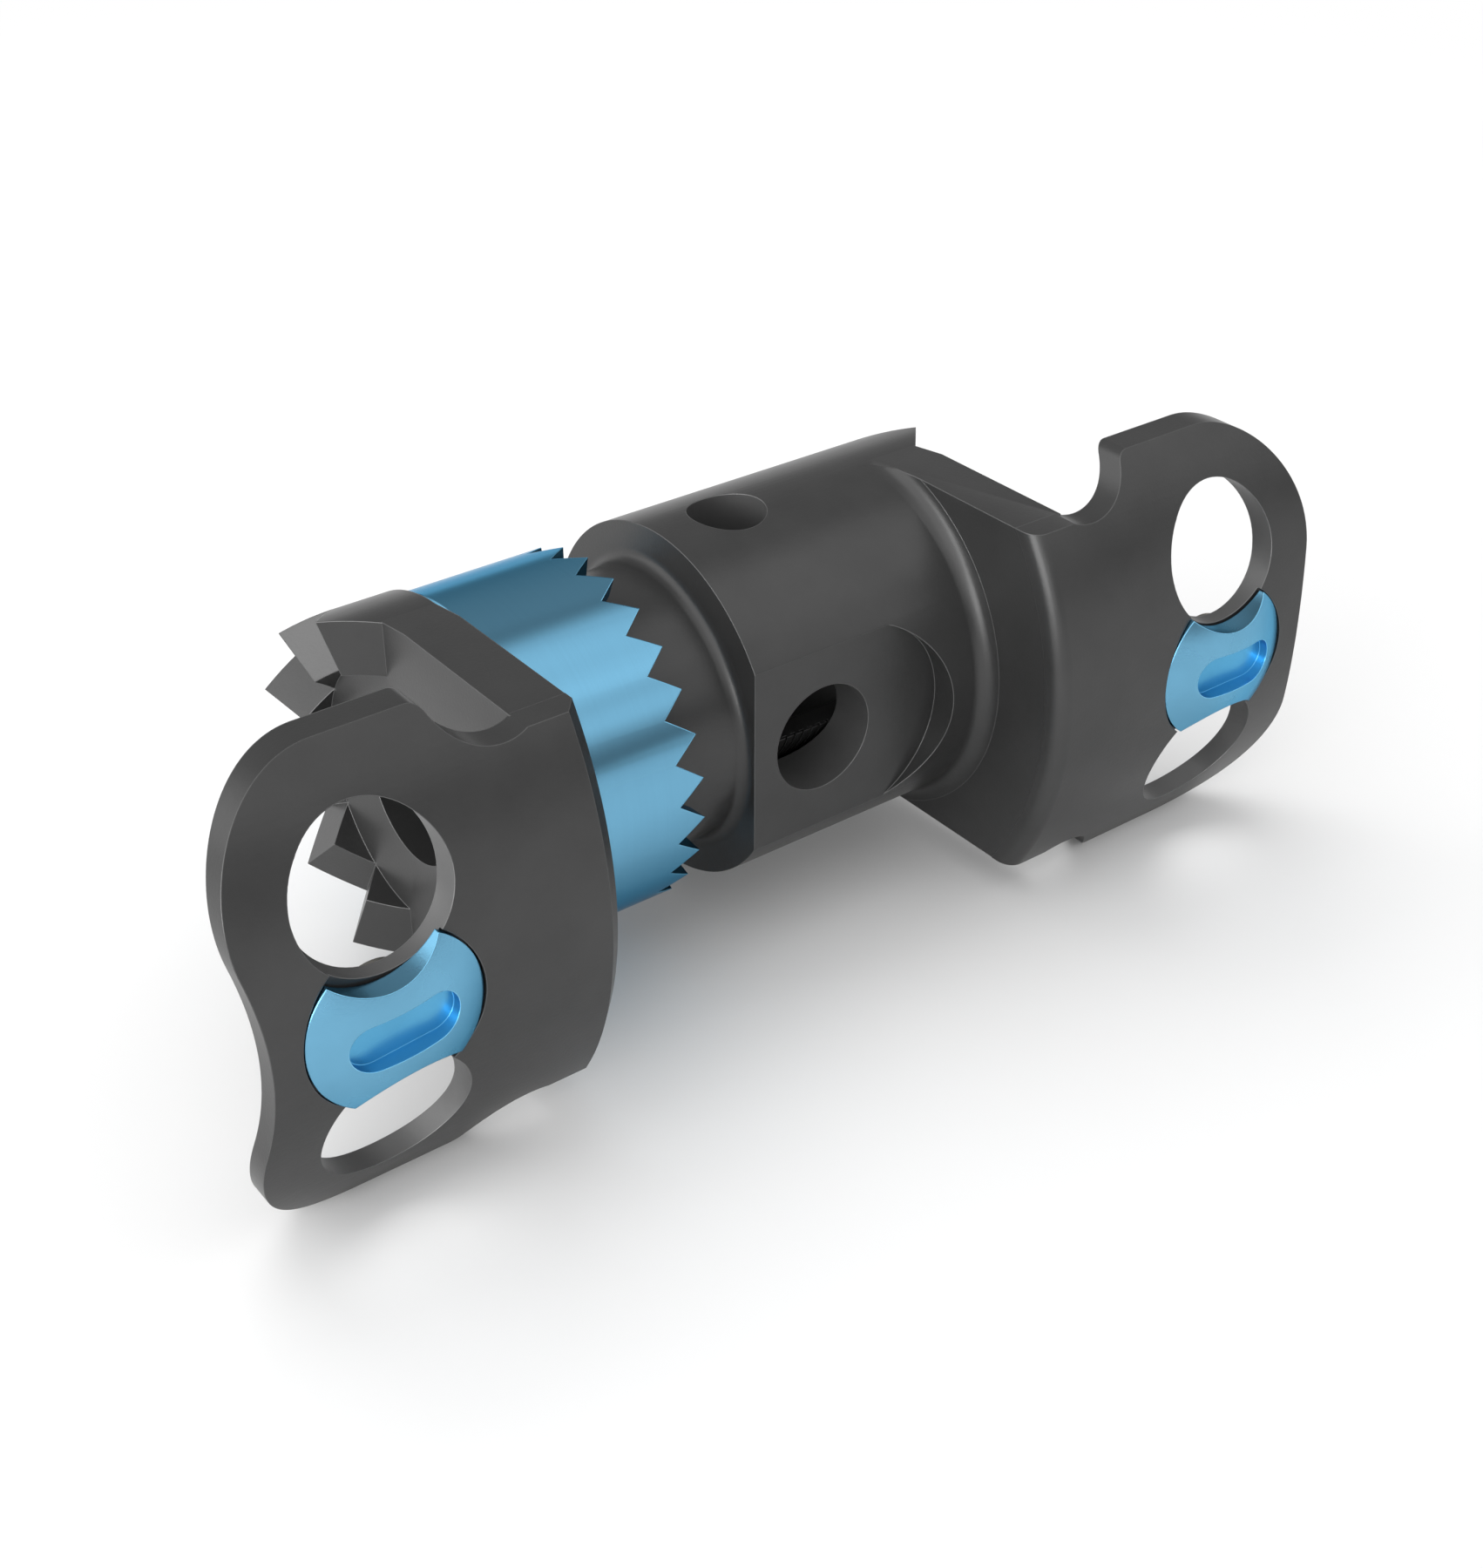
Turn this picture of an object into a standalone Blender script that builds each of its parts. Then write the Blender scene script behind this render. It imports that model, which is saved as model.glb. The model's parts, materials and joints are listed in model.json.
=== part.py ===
"""Expandable spinal cage with two fixation plates, modelled as separate metal pieces.

The cage lies along X. Its tube's axis is the modelling axis, the plates stand at -Y
and the finished part is moved so that the origin is under the middle of its box.
"""

import math

import bmesh
import bpy
from mathutils import Matrix, Vector

MM = 0.001

# Tube of the outer body
BODY_RADIUS = 7.0 * MM
BODY_BORE = 4.05 * MM
BODY_BORE_END = 10.1 * MM
FLAT_Y = -5.92 * MM
FLAT_END_X = 4.6 * MM
FLAT_END_RADIUS = 4.05 * MM
PORT_X = 3.2 * MM
TOOL_PORT_RADIUS = 2.15 * MM
GRAFT_PORT_RADIUS = 1.5 * MM

# Neck that carries the adjusting ring
NECK_RADIUS = 5.45 * MM
NECK_LENGTH = 6.6 * MM
NECK_FILLET = 0.5 * MM

# Webs and crowns at both ends
WEB_THICKNESS = 2.15 * MM
WEB_OVERHANG = 0.23 * MM
WEB_BLEND_START = 0.9 * MM
WEB_BLEND_END = -1.5 * MM
WEB_INSET = 0.045 * MM
CAUDAL_WEB_X = 10.3 * MM
CRANIAL_WEB_X = -9.15 * MM
CAUDAL_FILLET = 0.7 * MM
CRANIAL_CHAMFER = 0.55 * MM
CAUDAL_ROUNDING = 0.6 * MM
CROWN_HEIGHT = 1.6 * MM
CROWN_BORE = 4.9 * MM
CROWN_TEETH = 6
DISH_DEPTH = 0.4 * MM
END_HOLE_RADIUS = 2.75 * MM

# Plates
PLATE_RADIUS = 13.69 * MM
PLATE_CENTRE_Y = 2.65 * MM
PLATE_THICKNESS = 0.87 * MM
PLATE_OVERLAP = 0.3 * MM
CRANIAL_HOLE_X = -17.69 * MM
CAUDAL_HOLE_X = 19.10 * MM
CRANIAL_NOTCH_X = -12.12 * MM
CAUDAL_NOTCH_X = 13.15 * MM
NOTCH_RADIUS = 2.35 * MM
NOTCH_DIP = 0.18 * MM
NOTCH_CORNER = 0.6 * MM
LOBE_RADIUS = 4.44 * MM
LOBE_Z = 4.37 * MM
LOBE_OFFSET = 0.30 * MM
WAIST_OFFSET = 3.95 * MM
SCREW_Z = 4.47 * MM
SCREW_FRONT_RADIUS = 2.74 * MM
SCREW_REAR_RADIUS = 2.64 * MM
SCREW_LIP = 0.2 * MM

# Lock cams
CAM_RADIUS = 3.13 * MM
CAM_BITE_RADIUS = 2.8 * MM
CAM_EDGE = 0.23 * MM
CAM_DOME = 0.87 * MM
RECESS_DEPTH = 0.4 * MM
CRANIAL_CAM_TURN = 5.4
CAM_SHANK_RADIUS = 0.8 * MM
SLOT_LENGTH = 3.9 * MM
SLOT_WIDTH = 1.75 * MM
SLOT_DEPTH = 0.7 * MM
COLLAR_RADIUS = 1.5 * MM
COLLAR_THICKNESS = 0.6 * MM

# Threaded post of the sliding end piece
POST_RADIUS = 3.85 * MM
POST_END_X = 9.6 * MM
POST_SLOT_HALF = 1.27 * MM
POST_SLOT_START = 0.4 * MM
POST_SLOT_END = 7.4 * MM
TRAVEL = 6.5 * MM
KEYWAY_DEPTH = 0.6 * MM

# Adjusting ring
RING_RADIUS = 6.8 * MM
RING_TIP_X = -2.85 * MM
RING_TEETH = 26
RING_TOOTH_HEIGHT = 1.08 * MM
RING_TOOTH_PHASE = -15.3
RING_MOUTH_WALL = 0.75 * MM
RING_MOUTH_LENGTH = 1.35 * MM
RING_FLOOR_GAP = 0.3 * MM
RING_CHAMFER = 0.15 * MM

# Retaining ring and guide pin
RETAINER_X = -5.0 * MM
RETAINER_WIDTH = 0.5 * MM
RETAINER_INNER = 5.05 * MM
RETAINER_OUTER = 5.95 * MM
RETAINER_GAP_ANGLE = 50.0
PIN_RADIUS = 0.8 * MM
PIN_X = 1.2 * MM

# Clearances
RUNNING_GAP = 0.15 * MM
SEAT_GAP = 0.1 * MM
SEAM = 0.01 * MM
WELD = 0.0002 * MM
SEAM_WELD = 0.0005 * MM
REACH = 30.0 * MM

# Facets of the round shapes
ROUND_STEPS = 60
SMALL_STEPS = 30
FILLET_STEPS = 3
PLATE_STEPS = 25
WEB_STEPS = 21
DOME_STEPS = 5
CAM_STEPS = 48
SMOOTH_ANGLE = math.radians(28.0)

WEB_HALF_HEIGHT = BODY_RADIUS + WEB_OVERHANG
CRANIAL_FACE_X = CRANIAL_WEB_X - WEB_THICKNESS
CAUDAL_FACE_X = CAUDAL_WEB_X + WEB_THICKNESS
PLATE_FRONT_Y = PLATE_CENTRE_Y - PLATE_RADIUS
PLATE_REAR_RADIUS = PLATE_RADIUS - PLATE_THICKNESS
PLATE_REAR_Y = PLATE_CENTRE_Y - PLATE_REAR_RADIUS
LOBE_TOP = LOBE_Z + LOBE_RADIUS
NOTCH_Z = WEB_HALF_HEIGHT + NOTCH_RADIUS - NOTCH_DIP
CRANIAL_LOBE_X = CRANIAL_HOLE_X - LOBE_OFFSET
CAUDAL_LOBE_X = CAUDAL_HOLE_X + LOBE_OFFSET

ANODISED = (0.075, 0.235, 0.36, 1.0)
TITANIUM = (0.085, 0.085, 0.088, 1.0)


def start_scene():
    """Empty the scene and return the collections for pieces and cutters."""
    for item in list(bpy.data.objects):
        bpy.data.objects.remove(item, do_unlink=True)
    pieces = bpy.data.collections.new("Expandable cage")
    cutters = bpy.data.collections.new("Cutters")
    bpy.context.scene.collection.children.link(pieces)
    bpy.context.scene.collection.children.link(cutters)
    return pieces, cutters


PIECES, CUTTERS = start_scene()


def arc(centre, radius, start, end, steps):
    """Points on an arc, from one angle to another, in degrees."""
    points = []
    for index in range(steps + 1):
        angle = math.radians(start + (end - start) * index / steps)
        points.append((centre[0] + radius * math.cos(angle), centre[1] + radius * math.sin(angle)))
    return points


def bake(source, name, matrix):
    """Turn an object's evaluated shape into a plain mesh object at the given place."""
    bpy.context.view_layer.update()
    graph = bpy.context.evaluated_depsgraph_get()
    mesh = bpy.data.meshes.new_from_object(source.evaluated_get(graph))
    mesh.transform(matrix)
    shape = bmesh.new()
    shape.from_mesh(mesh)
    bmesh.ops.remove_doubles(shape, verts=shape.verts, dist=WELD)
    bmesh.ops.recalc_face_normals(shape, faces=shape.faces)
    shape.to_mesh(mesh)
    shape.free()
    mesh.name = name
    result = bpy.data.objects.new(name, mesh)
    CUTTERS.objects.link(result)
    bpy.data.objects.remove(source, do_unlink=True)
    return result


AXES_FROM_OUTLINE = {
    "X": Matrix(((0, 0, 1), (1, 0, 0), (0, 1, 0))).to_4x4(),
    "Y": Matrix(((1, 0, 0), (0, 0, -1), (0, 1, 0))).to_4x4(),
}


def prism(name, outline, axis, low, high):
    """Extrude a flat outline along X or Y between two places on that axis.

    The outline's points are (y, z) for a prism along X and (x, z) for one along Y.
    """
    curve = bpy.data.curves.new(name, "CURVE")
    curve.dimensions = "2D"
    curve.fill_mode = "BOTH"
    curve.extrude = (high - low) / 2.0
    spline = curve.splines.new("POLY")
    spline.points.add(len(outline) - 1)
    for point, place in zip(spline.points, outline):
        point.co = (place[0], place[1], 0.0, 1.0)
    spline.use_cyclic_u = True
    source = bpy.data.objects.new(name, curve)
    CUTTERS.objects.link(source)
    middle = (low + high) / 2.0
    shift = Vector((middle, 0.0, 0.0)) if axis == "X" else Vector((0.0, middle, 0.0))
    return bake(source, name, Matrix.Translation(shift) @ AXES_FROM_OUTLINE[axis])


AXES_FROM_TURNING = {
    "X": Matrix(((0, 0, 1), (1, 0, 0), (0, 1, 0))).to_4x4(),
    "-Y": Matrix(((1, 0, 0), (0, 0, -1), (0, 1, 0))).to_4x4(),
    "Y": Matrix(((-1, 0, 0), (0, 0, 1), (0, 1, 0))).to_4x4(),
    "Z": Matrix.Identity(4),
}


def turned(name, profile, axis, steps=ROUND_STEPS, centre=(0.0, 0.0, 0.0)):
    """Turn a closed profile of (radius, place along the axis) about an axis.

    A profile that starts and ends on the axis is left open there. The shape is turned on
    by half a step, so that no facet edge lies on a plane of symmetry.
    """
    mesh = bpy.data.meshes.new(name)
    solid_core = profile[0][0] == 0.0 and profile[-1][0] == 0.0
    shape = bmesh.new()
    verts = [shape.verts.new((radius, 0.0, place)) for radius, place in profile]
    for first, second in zip(verts, verts[1:]):
        shape.edges.new((first, second))
    if not solid_core:
        shape.edges.new((verts[-1], verts[0]))
    shape.to_mesh(mesh)
    shape.free()
    source = bpy.data.objects.new(name, mesh)
    CUTTERS.objects.link(source)
    screw = source.modifiers.new("Turn", "SCREW")
    screw.angle = math.tau
    screw.steps = steps
    screw.render_steps = steps
    screw.use_merge_vertices = True
    screw.merge_threshold = WELD
    half_step = Matrix.Rotation(math.pi / steps, 4, "Z")
    place = Matrix.Translation(Vector(centre))
    return bake(source, name, place @ AXES_FROM_TURNING[axis] @ half_step)


def rod(name, radius, low, high, axis, centre=(0.0, 0.0, 0.0), steps=SMALL_STEPS):
    """A plain cylinder between two places on its axis."""
    mesh = bpy.data.meshes.new(name)
    shape = bmesh.new()
    bmesh.ops.create_cone(
        shape, cap_ends=True, segments=steps, radius1=radius, radius2=radius, depth=high - low)
    shape.to_mesh(mesh)
    shape.free()
    source = bpy.data.objects.new(name, mesh)
    CUTTERS.objects.link(source)
    lift = Matrix.Translation(Vector((0.0, 0.0, (low + high) / 2.0)))
    lift = lift @ Matrix.Rotation(math.pi / steps, 4, "Z")
    return bake(source, name, Matrix.Translation(Vector(centre)) @ AXES_FROM_TURNING[axis] @ lift)


def block(name, low, high):
    """A box between two corners."""
    mesh = bpy.data.meshes.new(name)
    shape = bmesh.new()
    bmesh.ops.create_cube(shape, size=1.0)
    size = Vector(high) - Vector(low)
    bmesh.ops.scale(shape, vec=size, verts=shape.verts)
    shape.to_mesh(mesh)
    shape.free()
    source = bpy.data.objects.new(name, mesh)
    CUTTERS.objects.link(source)
    return bake(source, name, Matrix.Translation((Vector(low) + Vector(high)) / 2.0))


def combine(target, others, operation):
    """Apply Boolean cuts, joins or overlaps to a mesh and clean the seams."""
    for other in others:
        change = target.modifiers.new(operation.title(), "BOOLEAN")
        change.operation = operation
        change.object = other
        change.solver = "EXACT"
        bpy.context.view_layer.update()
        graph = bpy.context.evaluated_depsgraph_get()
        mesh = bpy.data.meshes.new_from_object(target.evaluated_get(graph))
        target.modifiers.remove(change)
        shape = bmesh.new()
        shape.from_mesh(mesh)
        bmesh.ops.remove_doubles(shape, verts=shape.verts, dist=SEAM_WELD)
        bmesh.ops.dissolve_degenerate(shape, edges=shape.edges, dist=SEAM_WELD)
        shape.to_mesh(mesh)
        shape.free()
        target.data = mesh
        other.hide_render = True
        other.display_type = "WIRE"
    return target


def material(name, colour, roughness):
    """A metal's plain viewport material."""
    result = bpy.data.materials.new(name)
    result.use_nodes = True
    shader = result.node_tree.nodes["Principled BSDF"]
    shader.inputs["Base Color"].default_value = colour
    shader.inputs["Metallic"].default_value = 1.0
    shader.inputs["Roughness"].default_value = roughness
    result.diffuse_color = colour
    return result


def finish(shape, name, colour, roughness, pivot):
    """Name a finished piece, shade it, and put its origin on its own joint's axis."""
    place = Vector(pivot)
    shape.name = name
    shape.data.name = name
    shape.data.transform(Matrix.Translation(-place))
    shape.location = place
    shape.data.materials.clear()
    shape.data.materials.append(material(name, colour, roughness))
    shape.data.shade_smooth()
    shape.data.set_sharp_from_angle(angle=SMOOTH_ANGLE)
    CUTTERS.objects.unlink(shape)
    PIECES.objects.link(shape)
    return shape


def plate_arc(radius, half_height, steps):
    """Points (y, z) on a plate's curve, from its lower edge to its upper edge."""
    reach = math.degrees(math.asin(half_height / radius))
    return arc((PLATE_CENTRE_Y, 0.0), radius, 180.0 + reach, 180.0 - reach, steps)


def plate_outline(web_x, notch_x, lobe_x):
    """Outline (x, z) of one plate, from its root at the web to its free edge."""
    side = math.copysign(1.0, lobe_x - web_x)
    corner_z = LOBE_TOP - NOTCH_CORNER
    joined = NOTCH_RADIUS + NOTCH_CORNER
    corner_reach = math.sqrt(joined ** 2 - (NOTCH_Z - corner_z) ** 2)
    notch_start = -180.0 + math.degrees(math.asin((NOTCH_Z - WEB_HALF_HEIGHT) / NOTCH_RADIUS))
    notch_end = math.degrees(math.atan2(corner_z - NOTCH_Z, corner_reach))
    waist_radius = (WAIST_OFFSET ** 2 + LOBE_Z ** 2 - LOBE_RADIUS ** 2) \
        / (2.0 * (LOBE_RADIUS - WAIST_OFFSET))
    waist_angle = math.degrees(math.atan2(LOBE_Z, waist_radius + WAIST_OFFSET))
    outward = abs(lobe_x)
    upper = [(abs(web_x), WEB_HALF_HEIGHT)]
    upper += arc((abs(notch_x), NOTCH_Z), NOTCH_RADIUS, notch_start, notch_end, 14)
    upper += arc((abs(notch_x) + corner_reach, corner_z), NOTCH_CORNER,
                 180.0 + notch_end, 90.0, 5)[1:]
    upper += arc((outward, LOBE_Z), LOBE_RADIUS, 90.0, -waist_angle, 20)
    upper += arc((outward + waist_radius + WAIST_OFFSET, 0.0), waist_radius,
                 180.0 - waist_angle, 180.0, 4)[1:]
    lower = [(x, -z) for x, z in reversed(upper[:-1])]
    return [(side * x, z) for x, z in upper + lower]


def screw_seat(name, hole_x, hole_z):
    """Cutter for one screw hole: a straight mouth, a conical seat and a thin rear lip."""
    front = PLATE_CENTRE_Y - math.sqrt(PLATE_RADIUS ** 2 - hole_z ** 2)
    rear = PLATE_CENTRE_Y - math.sqrt(PLATE_REAR_RADIUS ** 2 - hole_z ** 2)
    profile = [
        (0.0, REACH),
        (SCREW_FRONT_RADIUS, REACH),
        (SCREW_FRONT_RADIUS, -front),
        (SCREW_REAR_RADIUS, -rear + SCREW_LIP),
        (SCREW_REAR_RADIUS, PLATE_CENTRE_Y),
        (0.0, PLATE_CENTRE_Y),
    ]
    return turned(name, profile, "-Y", SMALL_STEPS, (hole_x, 0.0, hole_z))


def web_section(half):
    """Outline (y, z) of a web, from inside the round rear part to inside the plate."""
    start_z = math.sqrt(BODY_RADIUS ** 2 - WEB_BLEND_START ** 2) - WEB_INSET
    front = plate_arc(PLATE_REAR_RADIUS + PLATE_THICKNESS / 10.0, half, WEB_STEPS)
    lower = [(WEB_BLEND_START, -start_z), (WEB_BLEND_END, -half)]
    upper = [(WEB_BLEND_END, half), (WEB_BLEND_START, start_z)]
    return lower + front + upper


def web_and_plate(name, web_x, face_x, hole_x, notch_x, lobe_x, rounding, rounding_steps):
    """One end's plate and the web behind it, joined, with the screw holes and cam recess."""
    low = min(web_x, lobe_x) - LOBE_RADIUS - REACH / 10.0
    high = max(web_x, lobe_x) + LOBE_RADIUS + REACH / 10.0
    plate = prism(name, plate_outline(web_x, notch_x, lobe_x), "Y",
                  PLATE_FRONT_Y - MM, PLATE_CENTRE_Y - PLATE_REAR_RADIUS / 2.0)
    shell_half = LOBE_TOP + PLATE_OVERLAP
    shell_outline = plate_arc(PLATE_RADIUS, shell_half, PLATE_STEPS)
    shell_outline += reversed(plate_arc(PLATE_REAR_RADIUS, shell_half, PLATE_STEPS))
    shell = prism(name + "_shell", shell_outline, "X", low, high)
    combine(plate, [shell], "INTERSECT")
    web_outline = web_section(WEB_HALF_HEIGHT - SEAM)
    side = math.copysign(1.0, face_x - web_x)
    inner = web_x + side * SEAM
    web = prism(name + "_web", web_outline, "X", min(inner, face_x), max(inner, face_x))
    combine(plate, [web], "UNION")
    round_root(plate, web_x, rounding, rounding_steps)
    cuts = [screw_seat(name + "_seat_upper", hole_x, SCREW_Z),
            screw_seat(name + "_seat_lower", hole_x, -SCREW_Z)]
    floor_y = PLATE_FRONT_Y + RECESS_DEPTH
    cuts.append(rod(name + "_recess", CAM_RADIUS + RUNNING_GAP, PLATE_FRONT_Y - MM, floor_y, "Y",
                    (hole_x, 0.0, 0.0), ROUND_STEPS))
    cuts.append(rod(name + "_shank_hole", CAM_SHANK_RADIUS + RUNNING_GAP, PLATE_FRONT_Y,
                    PLATE_CENTRE_Y - PLATE_REAR_RADIUS / 2.0, "Y", (hole_x, 0.0, 0.0)))
    return combine(plate, cuts, "DIFFERENCE")


def round_root(plate, web_x, width, steps):
    """Chamfer or round the outer edge where the plate ends at the web's inner face."""
    shape = bmesh.new()
    shape.from_mesh(plate.data)
    weights = shape.edges.layers.float.new("bevel_weight_edge")
    for edge in shape.edges:
        on_edge = True
        for vert in edge.verts:
            spread = math.hypot(vert.co.y - PLATE_CENTRE_Y, vert.co.z)
            on_edge = on_edge and abs(vert.co.x - web_x) < SEAM / 2.0
            on_edge = on_edge and abs(spread - PLATE_RADIUS) < PLATE_THICKNESS / 10.0
        edge[weights] = 1.0 if on_edge else 0.0
    shape.to_mesh(plate.data)
    shape.free()
    bevel = plate.modifiers.new("Root edge", "BEVEL")
    bevel.limit_method = "WEIGHT"
    bevel.width = width
    bevel.segments = steps
    bevel.use_clamp_overlap = False
    bpy.context.view_layer.update()
    graph = bpy.context.evaluated_depsgraph_get()
    mesh = bpy.data.meshes.new_from_object(plate.evaluated_get(graph))
    plate.modifiers.remove(bevel)
    shape = bmesh.new()
    shape.from_mesh(mesh)
    bmesh.ops.remove_doubles(shape, verts=shape.verts, dist=SEAM_WELD)
    bmesh.ops.dissolve_degenerate(shape, edges=shape.edges, dist=SEAM_WELD)
    shape.to_mesh(mesh)
    shape.free()
    plate.data = mesh


def crown_cutters(name, face_x, side):
    """V cutters between the crown's teeth, one for each radial valley on the rear half."""
    pitch = 180.0 / CROWN_TEETH
    half_width = BODY_RADIUS * math.sin(math.radians(pitch / 2.0))
    reach = 2.0 * CROWN_HEIGHT
    spread = half_width * reach / CROWN_HEIGHT
    root_x = face_x - side * 2.0 * SEAM
    cutters = []
    for index in range(CROWN_TEETH + 1):
        outline = [(root_x, 0.0), (root_x + side * reach, spread), (root_x + side * reach, -spread)]
        cutter = prism(name + "_valley_" + str(index), outline, "Y",
                       CROWN_BORE / 2.0, BODY_RADIUS + MM)
        cutter.data.transform(Matrix.Rotation(math.radians(90.0 - pitch * index), 4, "X"))
        cutters.append(cutter)
    return cutters


def crown_and_dish(core, name, face_x, side):
    """Cut one end of a turned core into its toothed crown, dish and through hole."""
    tip_x = face_x + side * CROWN_HEIGHT
    clear_x = tip_x + side * MM
    inner_x = face_x - side * SEAM
    front = block(name + "_front",
                  (min(inner_x, clear_x), -BODY_RADIUS - MM, -BODY_RADIUS - MM),
                  (max(inner_x, clear_x), 0.0, BODY_RADIUS + MM))
    return combine(core, [front] + crown_cutters(name, face_x, side), "DIFFERENCE")


def dish_cutter(name, face_x, side, hole_end):
    """Cutter for the crown's bore, the conical dish and the hole in its middle."""
    tip_x = face_x + side * (CROWN_HEIGHT + MM)
    profile = [
        (0.0, tip_x),
        (CROWN_BORE, tip_x),
        (CROWN_BORE, face_x),
        (END_HOLE_RADIUS, face_x - side * DISH_DEPTH),
        (END_HOLE_RADIUS, hole_end),
        (0.0, hole_end),
    ]
    return turned(name, profile, "X")


def outer_body():
    """Tube, neck, caudal web, plate and crown in one piece."""
    tip_x = CAUDAL_FACE_X + CROWN_HEIGHT
    groove_low = RETAINER_X - RETAINER_WIDTH / 2.0 - SEAT_GAP
    groove_high = RETAINER_X + RETAINER_WIDTH / 2.0 + SEAT_GAP
    groove_radius = RETAINER_INNER - RUNNING_GAP
    fillet = arc((-NECK_FILLET, NECK_RADIUS + NECK_FILLET), NECK_FILLET, -90.0, 0.0, FILLET_STEPS)
    profile = [
        (0.0, -NECK_LENGTH),
        (NECK_RADIUS, -NECK_LENGTH),
        (NECK_RADIUS, groove_low),
        (groove_radius, groove_low),
        (groove_radius, groove_high),
        (NECK_RADIUS, groove_high),
    ]
    profile += [(radius, place) for place, radius in fillet]
    profile += [(BODY_RADIUS, 0.0), (BODY_RADIUS, tip_x), (0.0, tip_x)]
    profile.reverse()
    body = turned("outer_body", profile, "X")
    crown_and_dish(body, "caudal_crown", CAUDAL_FACE_X, 1.0)
    end = web_and_plate("caudal_plate", CAUDAL_WEB_X, CAUDAL_FACE_X, CAUDAL_HOLE_X,
                        CAUDAL_NOTCH_X, CAUDAL_LOBE_X, CAUDAL_ROUNDING, 4)
    combine(body, [end], "UNION")
    combine(body, [web_fillet()], "UNION")
    flat_outline = [(-REACH, -FLAT_END_RADIUS)]
    flat_outline += arc((FLAT_END_X, 0.0), FLAT_END_RADIUS, -90.0, 90.0, SMALL_STEPS)
    flat_outline += [(-REACH, FLAT_END_RADIUS)]
    flat = prism("flat_cutter", flat_outline, "Y", -BODY_RADIUS - MM, FLAT_Y)
    cuts = [
        rod("body_bore", BODY_BORE, -NECK_LENGTH - MM, BODY_BORE_END, "X", steps=ROUND_STEPS),
        flat,
        rod("tool_port", TOOL_PORT_RADIUS, 0.0, BODY_RADIUS + MM, "-Y", (PORT_X, 0.0, 0.0), 48),
        rod("graft_ports", GRAFT_PORT_RADIUS, -BODY_RADIUS - MM, BODY_RADIUS + MM, "Z",
            (PORT_X, 0.0, 0.0)),
        rod("pin_hole", PIN_RADIUS + SEAT_GAP, 0.0, BODY_RADIUS + MM, "Y", (PIN_X, 0.0, 0.0)),
        dish_cutter("caudal_dish", CAUDAL_FACE_X, 1.0, BODY_BORE_END - MM),
    ]
    combine(body, cuts, "DIFFERENCE")
    return finish(body, "outer_body", TITANIUM, 0.45, (0.0, 0.0, 0.0))


def web_fillet():
    """Fillet between the tube and the caudal web, within the web's own outline."""
    rise = arc((CAUDAL_WEB_X - CAUDAL_FILLET, BODY_RADIUS + CAUDAL_FILLET), CAUDAL_FILLET,
               -90.0, 0.0, FILLET_STEPS)
    core = BODY_RADIUS - MM
    profile = [(core, rise[0][0] - SEAM), (BODY_RADIUS - SEAM, rise[0][0] - SEAM)]
    profile += [(radius, place) for place, radius in rise[1:]]
    profile += [(BODY_RADIUS + CAUDAL_FILLET, CAUDAL_WEB_X + MM), (core, CAUDAL_WEB_X + MM)]
    profile.reverse()
    fillet = turned("web_fillet", profile, "X")
    keep = prism("web_fillet_keep", web_section(WEB_HALF_HEIGHT - 2.0 * SEAM), "X",
                 CAUDAL_WEB_X - REACH, CAUDAL_WEB_X + REACH)
    return combine(fillet, [keep], "INTERSECT")


def cranial_end():
    """Sliding end piece: web, plate, crown and the hollow threaded post."""
    tip_x = CRANIAL_FACE_X - CROWN_HEIGHT
    inner_x = CRANIAL_WEB_X - SEAM
    profile = [
        (0.0, tip_x),
        (BODY_RADIUS, tip_x),
        (BODY_RADIUS, inner_x),
        (POST_RADIUS, inner_x),
        (POST_RADIUS, POST_END_X),
        (0.0, POST_END_X),
    ]
    profile.reverse()
    piece = turned("cranial_end", profile, "X")
    crown_and_dish(piece, "cranial_crown", CRANIAL_FACE_X, -1.0)
    end = web_and_plate("cranial_plate", CRANIAL_WEB_X, CRANIAL_FACE_X, CRANIAL_HOLE_X,
                        CRANIAL_NOTCH_X, CRANIAL_LOBE_X, CRANIAL_CHAMFER, 1)
    combine(piece, [end], "UNION")
    keyway_end = PIN_X + TRAVEL + PIN_RADIUS + RUNNING_GAP
    keyway = block("keyway", (PIN_X - PIN_RADIUS - RUNNING_GAP, POST_RADIUS - KEYWAY_DEPTH,
                              -PIN_RADIUS - RUNNING_GAP),
                   (keyway_end, BODY_RADIUS, PIN_RADIUS + RUNNING_GAP))
    window = block("window", (POST_SLOT_START, -BODY_RADIUS, -POST_SLOT_HALF),
                   (POST_SLOT_END, 0.0, POST_SLOT_HALF))
    cuts = [keyway, window,
            dish_cutter("cranial_dish", CRANIAL_FACE_X, -1.0, POST_END_X + MM)]
    combine(piece, cuts, "DIFFERENCE")
    return finish(piece, "cranial_end", TITANIUM, 0.45, (CRANIAL_WEB_X, 0.0, 0.0))


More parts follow.
